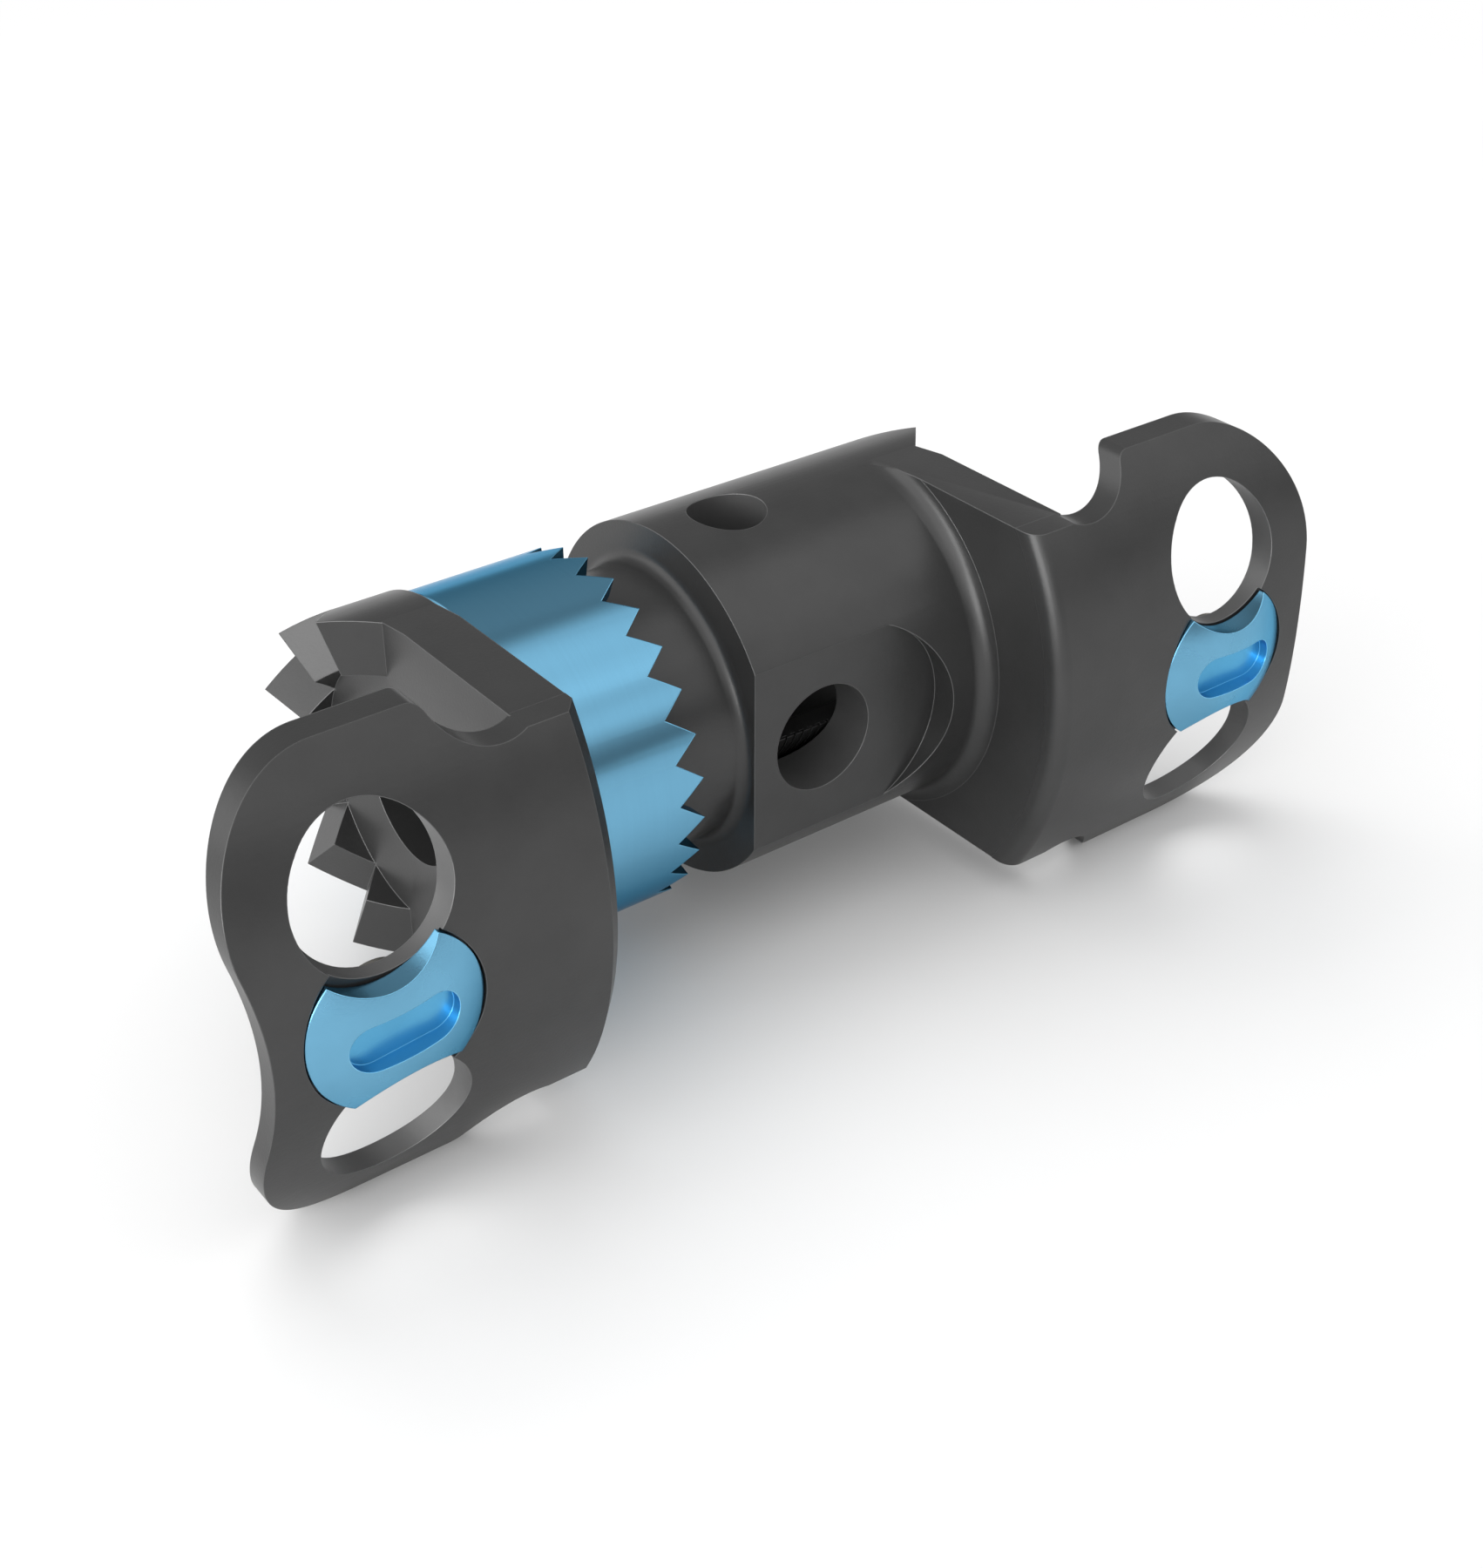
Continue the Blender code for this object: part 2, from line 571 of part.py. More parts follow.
def adjusting_ring():
    """Nut with crown teeth that turns on the neck and drives the post."""
    start_x = CRANIAL_WEB_X + RUNNING_GAP
    shoulder_x = -NECK_LENGTH - RING_FLOOR_GAP
    valley_x = RING_TIP_X - RING_TOOTH_HEIGHT
    mouth_x = RING_TIP_X - RING_MOUTH_LENGTH
    groove_low = RETAINER_X - RETAINER_WIDTH / 2.0 - RUNNING_GAP
    groove_high = RETAINER_X + RETAINER_WIDTH / 2.0 + RUNNING_GAP
    groove_radius = RETAINER_OUTER + RUNNING_GAP
    thread_radius = POST_RADIUS + RUNNING_GAP
    bearing_radius = NECK_RADIUS + RUNNING_GAP
    mouth_radius = RING_RADIUS - RING_MOUTH_WALL
    profile = [
        (thread_radius, start_x),
        (RING_RADIUS - RING_CHAMFER, start_x),
        (RING_RADIUS, start_x + RING_CHAMFER),
        (RING_RADIUS, RING_TIP_X),
        (mouth_radius, RING_TIP_X),
        (mouth_radius, mouth_x),
        (bearing_radius, mouth_x),
        (bearing_radius, groove_high),
        (groove_radius, groove_high),
        (groove_radius, groove_low),
        (bearing_radius, groove_low),
        (bearing_radius, shoulder_x),
        (thread_radius, shoulder_x),
    ]
    profile.reverse()
    ring = turned("adjusting_ring", profile, "X", RING_TEETH * 2)
    pitch = 360.0 / RING_TEETH
    half_width = RING_RADIUS * math.tan(math.radians(pitch / 2.0))
    reach = 2.0 * RING_TOOTH_HEIGHT
    spread = half_width * reach / RING_TOOTH_HEIGHT
    outline = [(valley_x, 0.0), (valley_x + reach, spread), (valley_x + reach, -spread)]
    cutters = []
    for index in range(RING_TEETH):
        cutter = prism("ring_valley_" + str(index), outline, "Y",
                       mouth_radius - MM, RING_RADIUS + MM)
        angle = 90.0 + RING_TOOTH_PHASE + pitch * (index + 0.5)
        cutter.data.transform(Matrix.Rotation(math.radians(angle), 4, "X"))
        cutters.append(cutter)
    combine(ring, cutters, "DIFFERENCE")
    return finish(ring, "adjusting_ring", ANODISED, 0.3, (start_x, 0.0, 0.0))


def retaining_ring():
    """Split ring that lies half in the neck's groove and half in the adjusting ring's."""
    half_gap = RETAINER_GAP_ANGLE / 2.0
    outline = arc((0.0, 0.0), RETAINER_OUTER, 180.0 + half_gap, 540.0 - half_gap, 60)
    outline += arc((0.0, 0.0), RETAINER_INNER, 540.0 - half_gap, 180.0 + half_gap, 60)
    ring = prism("retaining_ring", outline, "X", RETAINER_X - RETAINER_WIDTH / 2.0,
                 RETAINER_X + RETAINER_WIDTH / 2.0)
    return finish(ring, "retaining_ring", TITANIUM, 0.35, (RETAINER_X, 0.0, 0.0))


def guide_pin():
    """Pin pressed into the body wall, its tip in the post's keyway."""
    tip = POST_RADIUS - KEYWAY_DEPTH + RUNNING_GAP
    head = math.sqrt(BODY_RADIUS ** 2 - PIN_RADIUS ** 2)
    pin = rod("guide_pin", PIN_RADIUS, tip, head, "Y", (PIN_X, 0.0, 0.0))
    return finish(pin, "guide_pin", TITANIUM, 0.35, (PIN_X, 0.0, 0.0))


def lock_cam(name, hole_x, turn):
    """Domed cam with two bites that follow the screw holes, a driver slot and a shank."""
    floor = -(PLATE_FRONT_Y + RECESS_DEPTH - SEAT_GAP)
    edge = floor + CAM_EDGE
    shank_end = -(PLATE_REAR_Y + SEAT_GAP + COLLAR_THICKNESS)
    dome_radius = (CAM_RADIUS ** 2 + CAM_DOME ** 2) / (2.0 * CAM_DOME)
    reach = math.degrees(math.asin(CAM_RADIUS / dome_radius))
    centre = (0.0, edge + CAM_DOME - dome_radius)
    dome = arc(centre, dome_radius, 90.0, 90.0 - reach, DOME_STEPS)
    dome[0] = (0.0, edge + CAM_DOME)
    profile = dome
    profile += [(CAM_RADIUS, floor), (CAM_SHANK_RADIUS, floor), (CAM_SHANK_RADIUS, shank_end),
                (0.0, shank_end)]
    cam = turned(name, profile, "-Y", CAM_STEPS, (hole_x, 0.0, 0.0))
    top = edge + CAM_DOME
    half_run = (SLOT_LENGTH - SLOT_WIDTH) / 2.0
    slot_outline = arc((hole_x + half_run, 0.0), SLOT_WIDTH / 2.0, -90.0, 90.0, 12)
    slot_outline += arc((hole_x - half_run, 0.0), SLOT_WIDTH / 2.0, 90.0, 270.0, 12)
    cuts = [
        prism(name + "_slot", slot_outline, "Y", -top - MM, -top + SLOT_DEPTH),
        rod(name + "_bite_upper", CAM_BITE_RADIUS, floor - SEAT_GAP, top + MM, "-Y",
            (hole_x, 0.0, SCREW_Z), CAM_STEPS),
        rod(name + "_bite_lower", CAM_BITE_RADIUS, floor - SEAT_GAP, top + MM, "-Y",
            (hole_x, 0.0, -SCREW_Z), CAM_STEPS),
    ]
    combine(cam, cuts, "DIFFERENCE")
    centre = Matrix.Translation(Vector((hole_x, 0.0, 0.0)))
    turning = Matrix.Rotation(math.radians(-turn), 4, "Y")
    cam.data.transform(centre @ turning @ centre.inverted())
    return finish(cam, name, ANODISED, 0.3, (hole_x, PLATE_FRONT_Y, 0.0))


def cam_collar(name, hole_x):
    """Collar pressed on the cam's shank behind the plate."""
    front = -(PLATE_REAR_Y + SEAT_GAP)
    profile = [
        (CAM_SHANK_RADIUS + SEAT_GAP, front),
        (COLLAR_RADIUS, front),
        (COLLAR_RADIUS, front - COLLAR_THICKNESS),
        (CAM_SHANK_RADIUS + SEAT_GAP, front - COLLAR_THICKNESS),
    ]
    collar = turned(name, profile, "-Y", SMALL_STEPS, (hole_x, 0.0, 0.0))
    return finish(collar, name, TITANIUM, 0.35, (hole_x, PLATE_FRONT_Y, 0.0))


def centre_on_origin():
    """Move the finished part so that the origin is under the middle of its box."""
    corners = []
    for piece in PIECES.objects:
        corners += [vert.co + piece.location for vert in piece.data.vertices]
    low = Vector([min(corner[axis] for corner in corners) for axis in range(3)])
    high = Vector([max(corner[axis] for corner in corners) for axis in range(3)])
    shift = Vector((-(low.x + high.x) / 2.0, -(low.y + high.y) / 2.0, -low.z))
    for piece in PIECES.objects:
        piece.location += shift


def main():
    """Build every piece of the cage."""
    outer_body()
    cranial_end()
    adjusting_ring()
    retaining_ring()
    guide_pin()
    lock_cam("cranial_lock_cam", CRANIAL_HOLE_X, CRANIAL_CAM_TURN)
    cam_collar("cranial_cam_collar", CRANIAL_HOLE_X)
    lock_cam("caudal_lock_cam", CAUDAL_HOLE_X, 0.0)
    cam_collar("caudal_cam_collar", CAUDAL_HOLE_X)
    centre_on_origin()


main()
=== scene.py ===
"""Dressed model of an expandable spinal cage with two fixation plates.

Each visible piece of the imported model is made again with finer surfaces, a real thread and
metal finishes. The cage lies along X, its plates stand at -Y, and its sizes are those of the
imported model, so each piece takes the place of the node that it is named for.
"""

import json
import math

import bmesh
import bpy
from mathutils import Matrix, Vector


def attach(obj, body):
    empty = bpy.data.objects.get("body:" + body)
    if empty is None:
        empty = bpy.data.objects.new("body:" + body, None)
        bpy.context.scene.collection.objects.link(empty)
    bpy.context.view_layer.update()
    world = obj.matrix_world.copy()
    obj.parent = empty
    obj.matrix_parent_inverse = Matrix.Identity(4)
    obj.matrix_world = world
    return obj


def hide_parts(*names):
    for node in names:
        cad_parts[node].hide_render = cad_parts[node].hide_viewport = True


bl_info = {
    "name": "Expandable Spinal Cage",
    "version": (1, 0, 0),
    "blender": (4, 5, 0),
    "location": "3D View > Sidebar > Cage",
    "description": "Builds the pieces, finishes and studio of an expandable spinal cage",
    "category": "Add Mesh",
}

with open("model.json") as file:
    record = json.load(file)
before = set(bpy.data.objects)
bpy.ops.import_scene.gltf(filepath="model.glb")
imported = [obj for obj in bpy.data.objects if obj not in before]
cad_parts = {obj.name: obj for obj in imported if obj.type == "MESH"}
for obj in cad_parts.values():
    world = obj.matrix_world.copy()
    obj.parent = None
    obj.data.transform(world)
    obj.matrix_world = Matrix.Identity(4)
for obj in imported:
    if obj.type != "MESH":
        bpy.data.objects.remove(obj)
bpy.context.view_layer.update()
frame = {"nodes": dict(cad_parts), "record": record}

MM = 0.001

# Tube of the outer body
BODY_RADIUS = 7.0 * MM
BODY_BORE = 4.05 * MM
BODY_BORE_END = 10.1 * MM
FLAT_Y = -5.92 * MM
FLAT_END_X = 4.6 * MM
FLAT_END_RADIUS = 4.05 * MM
PORT_X = 3.2 * MM
TOOL_PORT_RADIUS = 2.15 * MM
GRAFT_PORT_RADIUS = 1.5 * MM

# Neck that carries the adjusting ring
NECK_RADIUS = 5.45 * MM
NECK_LENGTH = 6.6 * MM
NECK_FILLET = 0.5 * MM

# Webs and crowns at both ends
WEB_THICKNESS = 2.15 * MM
WEB_OVERHANG = 0.23 * MM
WEB_BLEND_START = 0.9 * MM
WEB_BLEND_END = -1.5 * MM
WEB_INSET = 0.045 * MM
CAUDAL_WEB_X = 10.3 * MM
CRANIAL_WEB_X = -9.15 * MM
CAUDAL_FILLET = 0.7 * MM
CRANIAL_CHAMFER = 0.55 * MM
CAUDAL_ROUNDING = 0.6 * MM
CROWN_HEIGHT = 1.6 * MM
CROWN_BORE = 4.9 * MM
CROWN_TEETH = 6
DISH_DEPTH = 0.4 * MM
END_HOLE_RADIUS = 2.75 * MM

# Plates
PLATE_RADIUS = 13.69 * MM
PLATE_CENTRE_Y = 2.65 * MM
PLATE_THICKNESS = 0.87 * MM
PLATE_OVERLAP = 0.3 * MM
CRANIAL_HOLE_X = -17.69 * MM
CAUDAL_HOLE_X = 19.10 * MM
CRANIAL_NOTCH_X = -12.12 * MM
CAUDAL_NOTCH_X = 13.15 * MM
NOTCH_RADIUS = 2.35 * MM
NOTCH_DIP = 0.18 * MM
NOTCH_CORNER = 0.6 * MM
LOBE_RADIUS = 4.44 * MM
LOBE_Z = 4.37 * MM
LOBE_OFFSET = 0.30 * MM
WAIST_OFFSET = 3.95 * MM
SCREW_Z = 4.47 * MM
SCREW_FRONT_RADIUS = 2.74 * MM
SCREW_REAR_RADIUS = 2.64 * MM
SCREW_LIP = 0.2 * MM

# Lock cams
CAM_RADIUS = 3.13 * MM
CAM_BITE_RADIUS = 2.8 * MM
CAM_EDGE = 0.23 * MM
CAM_DOME = 0.87 * MM
RECESS_DEPTH = 0.4 * MM
CRANIAL_CAM_TURN = 5.4
CAM_SHANK_RADIUS = 0.8 * MM
SLOT_LENGTH = 3.9 * MM
SLOT_WIDTH = 1.75 * MM
SLOT_DEPTH = 0.7 * MM
COLLAR_RADIUS = 1.5 * MM
COLLAR_THICKNESS = 0.6 * MM
COLLAR_CHAMFER = COLLAR_THICKNESS / 6.0

# Threaded post of the sliding end piece
POST_RADIUS = 3.85 * MM
POST_END_X = 9.6 * MM
POST_SLOT_HALF = 1.27 * MM
POST_SLOT_START = 0.4 * MM
POST_SLOT_END = 7.4 * MM
TRAVEL = 6.5 * MM
KEYWAY_DEPTH = 0.6 * MM
THREAD_PITCH = 0.4 * MM
THREAD_DEPTH = 0.24 * MM
# The ridge's middle lies this share of the thread's depth under its crest
RIDGE_SHARE = 0.8

# Adjusting ring
RING_RADIUS = 6.8 * MM
RING_TIP_X = -2.85 * MM
RING_TEETH = 26
RING_TOOTH_HEIGHT = 1.08 * MM
RING_TOOTH_PHASE = -15.3
RING_MOUTH_WALL = 0.75 * MM
RING_MOUTH_LENGTH = 1.35 * MM
RING_FLOOR_GAP = 0.3 * MM
RING_CHAMFER = 0.15 * MM

# Retaining ring and guide pin
RETAINER_X = -5.0 * MM
RETAINER_WIDTH = 0.5 * MM
RETAINER_INNER = 5.05 * MM
RETAINER_OUTER = 5.95 * MM
PIN_RADIUS = 0.8 * MM
PIN_X = 1.2 * MM

# Clearances
RUNNING_GAP = 0.15 * MM
SEAT_GAP = 0.1 * MM
CAM_GAP = 0.06 * MM

# Overlap that keeps two shapes' faces out of one plane, and distances at which points merge
SEAM = 0.01 * MM
WELD = 0.0002 * MM
SEAM_WELD = 0.0005 * MM

# How far cutters reach past what they cut
REACH = 30.0 * MM
SHELL_MARGIN = REACH / 10.0

# Facets of the round shapes
ROUND_STEPS = 144
SMALL_STEPS = 72
FILLET_STEPS = 9
PLATE_STEPS = 61
WEB_STEPS = 47
DOME_STEPS = 14
CAM_STEPS = 120
CORNER_STEPS = 16
LOBE_STEPS = 48
ROOT_STEPS = 8
THREAD_STEPS = 60
STEPS_PER_TOOTH = 7
SMOOTH_ANGLE = math.radians(24.0)

WEB_HALF_HEIGHT = BODY_RADIUS + WEB_OVERHANG
CRANIAL_FACE_X = CRANIAL_WEB_X - WEB_THICKNESS
CAUDAL_FACE_X = CAUDAL_WEB_X + WEB_THICKNESS
PLATE_FRONT_Y = PLATE_CENTRE_Y - PLATE_RADIUS
PLATE_REAR_RADIUS = PLATE_RADIUS - PLATE_THICKNESS
PLATE_REAR_Y = PLATE_CENTRE_Y - PLATE_REAR_RADIUS
PLATE_BITE = PLATE_THICKNESS / 10.0
FRONT_TOLERANCE = PLATE_THICKNESS / 10.0
LOBE_TOP = LOBE_Z + LOBE_RADIUS
NOTCH_Z = WEB_HALF_HEIGHT + NOTCH_RADIUS - NOTCH_DIP
CRANIAL_LOBE_X = CRANIAL_HOLE_X - LOBE_OFFSET
CAUDAL_LOBE_X = CAUDAL_HOLE_X + LOBE_OFFSET

# The milled flat's mount gives the place of the cage's axis in the frame
FLAT_PLACE = Vector((7.0 * MM, FLAT_Y, 0.0))
FLAT_MOUNT = next(m for m in frame["record"]["mounts"] if m["name"] == "milled_flat")
AXIS_PLACE = Vector(FLAT_MOUNT["pos_m"]) - FLAT_PLACE

# Nodes that keep their CAD shape and only get a finish
INNER_NODES = ("retaining_ring", "guide_pin")

# Blasted surfaces: slow clouds in tone and sheen, and pits
CLOUD_SIZE = 2.6 * MM
CLOUD_TONE = 0.07
CLOUD_SHEEN = 0.03
PIT_DEPTH = 0.02 * MM
PIT_STRENGTH = 0.2
# Turned surfaces: real tool lines are about 0.05 mm apart, too fine to show, so they are
# drawn coarser
LINE_SPACING = 0.09 * MM
LINE_STRETCH = 60.0
LINE_TONE = 0.015
LINE_DEPTH = 0.01 * MM
LINE_STRENGTH = 0.03
TONE_STOPS = (0.3, 0.7)
# Edges: cosines of the turn from the face, 10 and 23 degrees, over which a painted highlight, a
# lighter colour, comes in
EDGE_HIGHLIGHT_START = 0.985
EDGE_HIGHLIGHT_FULL = 0.92
EDGE_HIGHLIGHT_LIMIT = 0.9
EDGE_SAMPLES = 8
# Tint at a grazing view: its least part, and what the hue adds
TINT_BASE = 0.25
TINT_HUE = 0.5
WHITE = (1.0, 1.0, 1.0, 1.0)

# Finishes by use: material, colour, roughness, metallic, how many times lighter its edges are
# painted than its faces as a painted highlight, and the axis that its tool lines run round
FINISHES = {
    # Blasting under a grey oxide scatters the light: matt and even, with one soft sheen
    "grey": ("Blasted titanium", "titanium", 0.31, 0.55, 2.2, None),
    # Fine turning under a blue oxide: satin, with soft bright bands along the ring
    "ring": ("Blue anodised titanium ring", "blue", 0.21, 1.0, 1.3, "X"),
    # Fine blasting under the same oxide: a little duller, so the domes shade evenly
    "blue": ("Blue anodised titanium", "blue", 0.27, 1.0, 1.5, None),
    # Milling under the oxide: a deeper, clearer blue between the slot's walls
    "slot": ("Milled blue anodised titanium", "slot_blue", 0.3, 0.85, 1.4, None),
    # Holes and seats: plain metal and dull, and painted lighter than the outside, which lifts the
    # shade inside them
    "bore": ("Machined titanium bore", "bore", 0.4, 0.5, 1.6, None),
    # Turning alone: light, slightly warm metal with fine lines
    "bright": ("Turned titanium", "turned", 0.32, 1.0, 1.2, "Y"),
}

# Camera, from the plates' holes and outlines in the photograph
CAMERA_LENS = 51.53
CAMERA_SENSOR = 36.0
CAMERA_AZIMUTH = -37.162
CAMERA_RISE = 32.779
CAMERA_PLACE = (-41.85 * MM, -60.35 * MM, 43.40 * MM)

# Floor: a round board that turns up at its rim, and where it goes over to plain white
FLOOR_RADIUS = 2.0
FLOOR_CELLS = 80
FLOOR_FLAT = 0.8
FLOOR_BEND = 0.153
# Real fibres are far too fine to show, so the board's faint tone is drawn this coarse
FIBRE_SIZE = 25.0 * MM
FIBRE_TONE = 0.995
WHITE_START = 0.06
WHITE_FULL = 0.16

# Studio light: levels at angles round the cage's axis, from behind over the top to the front
SOFTBOX = (
    (8.0, 0.28), (30.0, 0.37), (50.0, 0.39), (64.0, 0.41), (75.0, 0.24), (86.0, 1.10),
    (99.0, 1.20), (111.0, 1.10), (123.0, 1.38), (135.0, 0.87), (147.0, 1.27), (158.0, 0.5),
    (171.0, 0.1),
)
SOFTBOX_PEAK = 1.4
# The studio's left end, by the X part of a direction, and its level
LEFT_START = -0.2
LEFT_FULL = -0.55
LEFT_LEVEL = 1.8
# Lamps: name, place, size, power in watts, and whether the metal mirrors them
LAMPS = (
    ("High lamp", (0.02, 0.11, 0.2), (0.2, 0.16), 0.22, False),
    ("Left lamp", (-0.27, -0.06, 0.05), (0.34, 0.14), 0.6, True),
)


def to_linear(hex_colour):
    """Linear colour of an sRGB hex value, with full alpha."""
    values = [int(hex_colour[place:place + 2], 16) / 255.0 for place in (1, 3, 5)]
    linear = [v / 12.92 if v <= 0.04045 else ((v + 0.055) / 1.055) ** 2.4 for v in values]
    return (*linear, 1.0)


def add_node(tree, kind, inputs=None, **settings):
    """Add a node with its settings, and fill or link its inputs by name or number."""
    node = tree.nodes.new(kind)
    for name, value in settings.items():
        setattr(node, name, value)
    for name, value in (inputs or {}).items():
        if isinstance(value, bpy.types.NodeSocket):
            tree.links.new(value, node.inputs[name])
        else:
            node.inputs[name].default_value = value
    return node


class CageSizes(bpy.types.PropertyGroup):
    """Sizes of what repeats on the cage and of its edges."""

    crown_teeth: bpy.props.IntProperty(
        name="Crown teeth", description="Teeth over half a turn of each crown",
        default=CROWN_TEETH, min=2, max=12)
    ring_teeth: bpy.props.IntProperty(
        name="Ring teeth", description="Teeth round the adjusting ring",
        default=RING_TEETH, min=8, max=60)
    ring_tooth_height: bpy.props.FloatProperty(
        name="Ring tooth height", description="Height of the adjusting ring's teeth",
        default=RING_TOOTH_HEIGHT, unit="LENGTH", precision=5)
    thread_pitch: bpy.props.FloatProperty(
        name="Thread pitch", description="Rise of the post's thread in one turn",
        default=THREAD_PITCH, unit="LENGTH", precision=5)
    thread_depth: bpy.props.FloatProperty(
        name="Thread depth", description="Height of the post's thread above its root",
        default=THREAD_DEPTH, unit="LENGTH", precision=5)
    edge_radius: bpy.props.FloatProperty(
        name="Edge radius", description="Rounding left on the edges by tumbling",
        default=0.06 * MM, unit="LENGTH", precision=6)
    # Real pits are about 0.05 mm across, too fine to show, so they are drawn coarser
    grit: bpy.props.FloatProperty(
        name="Grit", description="Size of the pits left by blasting",
        default=0.12 * MM, unit="LENGTH", precision=6)


AS_COLOUR = {"subtype": "COLOR", "size": 4, "min": 0.0, "max": 1.0}


class CageColours(bpy.types.PropertyGroup):
    """Colours of the cage's finishes and of its stage."""

    titanium: bpy.props.FloatVectorProperty(
        name="Grey titanium", description="Blasted and grey anodised titanium",
        **AS_COLOUR, default=to_linear("#434343"))
    # Walls of holes and seats, painted lighter as painted light in their shade
    bore: bpy.props.FloatVectorProperty(
        name="Bores", description="Machined walls of holes and screw seats",
        **AS_COLOUR, default=to_linear("#606060"))
    turned: bpy.props.FloatVectorProperty(
        name="Bright titanium", description="Turned titanium left bright",
        **AS_COLOUR, default=to_linear("#96948f"))
    blue: bpy.props.FloatVectorProperty(
        name="Blue titanium", description="Blue anodised titanium",
        **AS_COLOUR, default=to_linear("#70aac9"))
    slot_blue: bpy.props.FloatVectorProperty(
        name="Slot blue", description="Deeper blue of the milled driver slots",
        **AS_COLOUR, default=to_linear("#5ea9d1"))
    floor: bpy.props.FloatVectorProperty(
        name="Floor", description="Plain pale floor",
        **AS_COLOUR, default=to_linear("#e1e1e1"))


def new_material(name, colour):
    """A new material, with its tree, its shader and the object's own coordinates."""
    material = bpy.data.materials.new(name)
    material.use_nodes = True
    material.diffuse_color = tuple(colour)
    tree = material.node_tree
    place = add_node(tree, "ShaderNodeTexCoord").outputs["Object"]
    return material, tree, tree.nodes["Principled BSDF"], place


def toned(tree, noise, colour, spread):
    """A colour that a noise makes a little darker and lighter."""
    ramp = add_node(tree, "ShaderNodeValToRGB", {"Fac": noise.outputs["Fac"]})
    for stop, place, level in zip(ramp.color_ramp.elements, TONE_STOPS,
                                  (1.0 - spread, 1.0 + spread)):
        stop.position = place
        stop.color = tuple(level * part for part in colour[:3]) + (1.0,)
    return ramp.outputs["Color"]


def rounded_edges_painted_highlight(tree, shader, tone, colour, edge_highlight_gain):
    """Edges rounded in the shading, with a painted highlight that colours them lighter than the
    faces.
    """
    edges = add_node(tree, "ShaderNodeBevel", {
        "Radius": bpy.context.scene.cage_sizes.edge_radius}, samples=EDGE_SAMPLES)
    face = add_node(tree, "ShaderNodeNewGeometry")
    turn = add_node(tree, "ShaderNodeVectorMath", {
        0: edges.outputs["Normal"], 1: face.outputs["Normal"]}, operation="DOT_PRODUCT")
    share = add_node(tree, "ShaderNodeMapRange", {
        "Value": turn.outputs["Value"], "From Min": EDGE_HIGHLIGHT_START, "From Max": EDGE_HIGHLIGHT_FULL})
    # Painted highlight: the edges' colour, the face colour made lighter by the gain
    light = tuple(min(edge_highlight_gain * part, EDGE_HIGHLIGHT_LIMIT) for part in colour[:3]) + (1.0,)
    highlight_mix = add_node(tree, "ShaderNodeMix", {
        0: share.outputs["Result"], 6: tone, 7: light}, data_type="RGBA")
    tree.links.new(highlight_mix.outputs[2], shader.inputs["Base Color"])
    return edges.outputs["Normal"]


def set_metal(shader, colour, metallic):
    """Set how metallic a finish is, and the hue that its oxide keeps at a grazing view."""
    peak = max(colour[:3])
    tint = [TINT_BASE + TINT_HUE * part / peak for part in colour[:3]]
    shader.inputs["Metallic"].default_value = metallic
    shader.inputs["Specular Tint"].default_value = (*tint, 1.0)


def blasted_titanium(name, colour, roughness, metallic, edge_highlight_gain):
    """Titanium alloy, blasted or milled: soft sheen, faint cloudy tone, tiny pits."""
    material, tree, shader, place = new_material(name, colour)
    # The blasting and the oxide layer vary slowly over a few millimetres
    cloud = add_node(tree, "ShaderNodeTexNoise", {
        "Vector": place, "Scale": 1.0 / CLOUD_SIZE, "Detail": 4.0, "Roughness": 0.55})
    sheen = add_node(tree, "ShaderNodeMapRange", {
        "Value": cloud.outputs["Fac"], "To Min": roughness - CLOUD_SHEEN,
        "To Max": roughness + CLOUD_SHEEN})
    rounded = rounded_edges_painted_highlight(tree, shader, toned(tree, cloud, colour, CLOUD_TONE), colour, edge_highlight_gain)
    pits = add_node(tree, "ShaderNodeTexNoise", {
        "Vector": place, "Scale": 1.0 / bpy.context.scene.cage_sizes.grit, "Detail": 3.0,
        "Roughness": 0.6})
    bump = add_node(tree, "ShaderNodeBump", {
        "Height": pits.outputs["Fac"], "Normal": rounded, "Strength": PIT_STRENGTH,
        "Distance": PIT_DEPTH})
    tree.links.new(sheen.outputs["Result"], shader.inputs["Roughness"])
    tree.links.new(bump.outputs["Normal"], shader.inputs["Normal"])
    set_metal(shader, colour, metallic)
    return material


def turned_titanium(name, colour, roughness, metallic, edge_highlight_gain, axis):
    """Turned titanium, anodised or bright: fine tool lines round one axis under the colour."""
    material, tree, shader, place = new_material(name, colour)
    # Tool lines run round the axis, so the noise is fine along it and stretched across it
    fine = 1.0 / LINE_SPACING
    stretch = [fine if letter == axis else fine / LINE_STRETCH for letter in "XYZ"]
    lines = add_node(tree, "ShaderNodeMapping", {"Vector": place, "Scale": stretch})
    marks = add_node(tree, "ShaderNodeTexNoise", {
        "Vector": lines.outputs["Vector"], "Scale": 1.0, "Detail": 2.0, "Roughness": 0.5})
    rounded = rounded_edges_painted_highlight(tree, shader, toned(tree, marks, colour, LINE_TONE), colour, edge_highlight_gain)
    bump = add_node(tree, "ShaderNodeBump", {
        "Height": marks.outputs["Fac"], "Normal": rounded, "Strength": LINE_STRENGTH,
        "Distance": LINE_DEPTH})
    tree.links.new(bump.outputs["Normal"], shader.inputs["Normal"])
    shader.inputs["Roughness"].default_value = roughness
    set_metal(shader, colour, metallic)
    return material


def finish(use):
    """One of the cage's metal finishes, made when it is first asked for."""
    name, hue, roughness, metallic, edge_highlight_gain, axis = FINISHES[use]
    if name in bpy.data.materials:
        return bpy.data.materials[name]
    colour = getattr(bpy.context.scene.cage_colours, hue)
    if axis:
        return turned_titanium(name, colour, roughness, metallic, edge_highlight_gain, axis)
    return blasted_titanium(name, colour, roughness, metallic, edge_highlight_gain)


